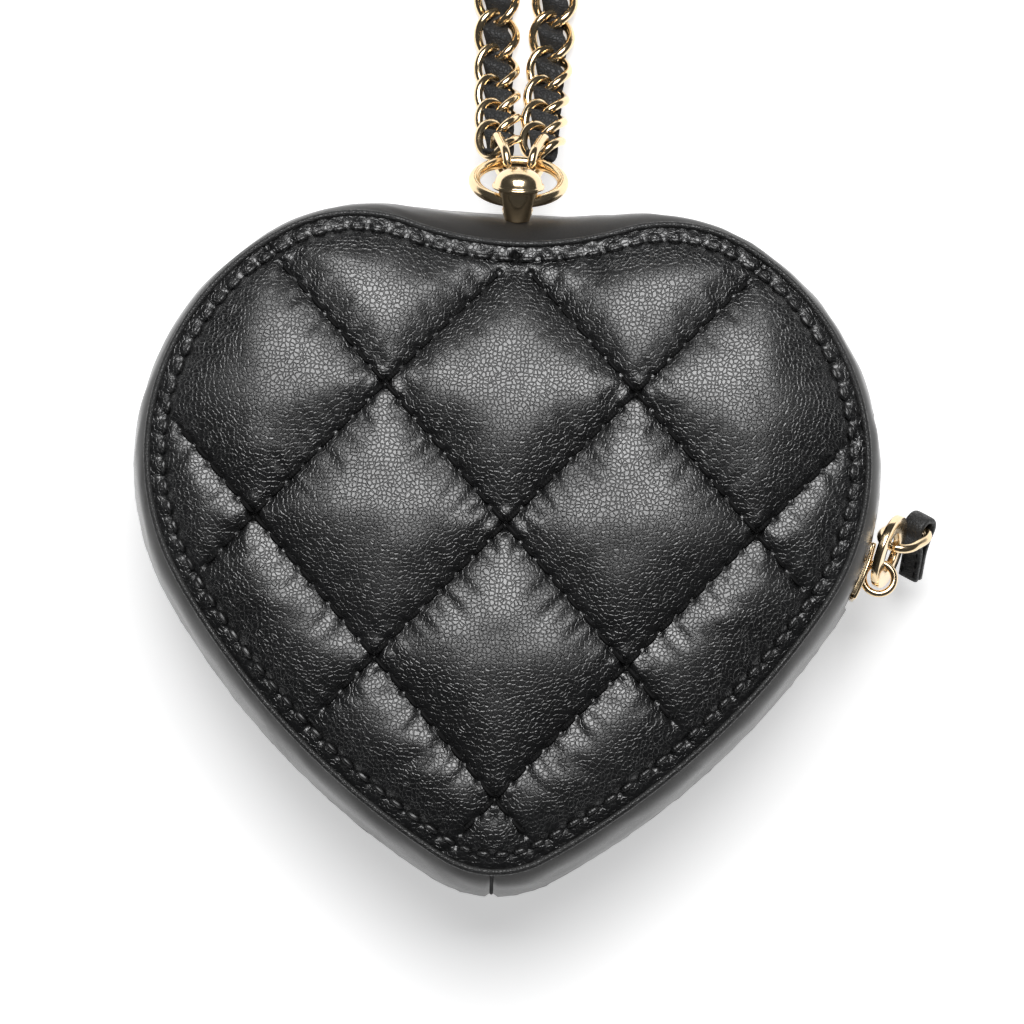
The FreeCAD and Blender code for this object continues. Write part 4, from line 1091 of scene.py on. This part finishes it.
hook_out = turn_from(pull_dir, pull_side, -HOOK_TURN)
hook_along = turn_from(pull_side, pull_dir, HOOK_TURN)
hook = pull_centre + hook_out * pull_band
link_dir = turn_from(hook_out, pull_normal, LINK_LEAN)
link_face = turn_from(pull_normal, hook_out, -LINK_LEAN)
pull_link = oval_link(PULL_LINK_L, PULL_LINK_W, LINK_WIRE, hook, link_dir, np.cross(link_dir, link_face))
place_piece(new_mesh("pull_link_gold", *pull_link, gold_plate), "zip_pull_link", "gold_metal", "pull_link")

TAB_W, TAB_LEN, TAB_T, TAB_EYE, TAB_NECK, TAB_CUT, TAB_OPEN = 3.4, 9.0, 1.0, 1.35, 3.2, 0.2, 42.0
TAB_SQUARE, TAB_FILL = 0.4, 0.49
TAB_SEAM_FROM, TAB_SEAM_PITCH, TAB_SEAM_SIDE, TAB_SEAM_RISE = 3.4, 1.75, 1.15, 1.02
TAB_STITCH, TAB_STITCH_R, TAB_STITCH_DIP = 1.4, 0.16, 0.15
tab_bend = PULL_LINK_W / 2 - LINK_WIRE
tab_pivot = hook + link_dir * (PULL_LINK_L - PULL_LINK_W + tab_bend)
tab_sag = tab_bend - sqrt(tab_bend ** 2 - (TAB_W / 2) ** 2)
tab_centre = tab_pivot - link_dir * (tab_sag / 2)
tab_dir = -hook_along
tab_up = np.cross(link_face, tab_dir)


def folded_tab(name, around=16, steps=10):
    """Leather strip folded round the link, its two layers sewn together."""
    middle = TAB_EYE + TAB_T / 2
    near = TAB_LEN - TAB_CUT
    run = [(TAB_NECK + k * (near - TAB_NECK) / steps, TAB_T / 2) for k in range(1, steps + 1)]
    turns = np.radians(np.linspace(TAB_OPEN, 360.0 - TAB_OPEN, 40))
    line = np.array(run[::-1] + [(middle * cos(t), middle * sin(t)) for t in turns]
                    + [(x, -y) for x, y in run])
    for _ in range(2):
        line[1:-1] = 0.25 * line[:-2] + 0.5 * line[1:-1] + 0.25 * line[2:]
    points = []
    for k, spot in enumerate(line):
        along = unit(line[min(k + 1, len(line) - 1)] - line[max(k - 1, 0)])
        normal = np.array([-along[1], along[0]])
        for j in range(around):
            turn = 2 * pi * j / around
            wide = signed_power(cos(turn), TAB_SQUARE) * TAB_W / 2
            local = spot + normal * signed_power(sin(turn), TAB_SQUARE) * TAB_T * TAB_FILL
            points.append(tab_centre + local[0] * tab_dir + local[1] * tab_up + wide * link_face)
    return new_mesh(name, points, capped_faces(len(line), around), edge_leather)


place_piece(folded_tab("pull_tab_leather"), "zip_pull_tab", "edge_leather", "pull_tab")
tab_stitches = []
for face in (1, -1):
    for across in (1, -1):
        for k in range(3):
            start = (tab_centre + tab_dir * (TAB_SEAM_FROM + TAB_SEAM_PITCH * k)
                     + link_face * across * TAB_SEAM_SIDE + tab_up * face * TAB_SEAM_RISE)
            tab_stitches.append(stitch(start, start + tab_dir * TAB_STITCH, TAB_STITCH_R, tab_up * face,
                                       dip=TAB_STITCH_DIP))
place_piece(many("pull_tab_thread", tab_stitches, stitch_faces, thread), "zip_pull_tab", "edge_leather")


# Floor, light and world

FLOOR_REACH, FLOOR_LEVEL, FLOOR_GLOW = 2500.0, -0.1, 0.52
KEY_PLACE, KEY_AIM = Vector((0.0, 0.38, 0.85)), Vector((0.0, 0.0, 0.02))
KEY_SIZE, KEY_POWER = (0.64, 0.52), 8.8
WORLD_COLOUR, WORLD_STRENGTH = (0.92, 0.95, 1.0, 1.0), 0.06


def floor_material(name):
    """White paper that keeps the shadow, and reads as white to the camera and in reflections."""
    mat = bpy.data.materials.new(name)
    mat.use_nodes = True
    tree = mat.node_tree
    tree.nodes.clear()
    fibre = noise_texture(tree, object_coordinates(tree), 60.0, 3.0)["Fac"]
    paper = mix_colour(tree, fibre, (0.88, 0.88, 0.88), (0.9, 0.9, 0.9))
    diffuse = node(tree, "ShaderNodeBsdfDiffuse", {"Color": paper})
    rays = node(tree, "ShaderNodeLightPath").outputs
    seen = math_node(tree, "MAXIMUM", rays["Is Camera Ray"], rays["Is Glossy Ray"])
    seen = math_node(tree, "MAXIMUM", seen, rays["Is Transmission Ray"])
    strength = math_node(tree, "MULTIPLY", seen, FLOOR_GLOW)
    glow = node(tree, "ShaderNodeEmission", {"Color": (1, 1, 1, 1), "Strength": strength})
    both = node(tree, "ShaderNodeAddShader", {0: diffuse.outputs[0], 1: glow.outputs[0]})
    node(tree, "ShaderNodeOutputMaterial", {"Surface": both.outputs[0]})
    return mat


corners = [(x * FLOOR_REACH, y * FLOOR_REACH, FLOOR_LEVEL) for y in (-1, 1) for x in (-1, 1)]
floor = new_mesh("floor", corners, [(0, 1, 3, 2)], floor_material("floor_white"), smooth=False)

world = bpy.data.worlds.new("studio")
scene.world = world
world.use_nodes = True
background = world.node_tree.nodes["Background"]
background.inputs["Color"].default_value = WORLD_COLOUR
background.inputs["Strength"].default_value = WORLD_STRENGTH

lamp = bpy.data.lights.new("key", "AREA")
lamp.shape = "RECTANGLE"
lamp.size, lamp.size_y = KEY_SIZE
lamp.energy = KEY_POWER
key = add_object("key", lamp)
key.location = KEY_PLACE
key.rotation_mode = "QUATERNION"
key.rotation_quaternion = (KEY_AIM - KEY_PLACE).to_track_quat("-Z", "Y")

scene.view_settings.view_transform = "Standard"
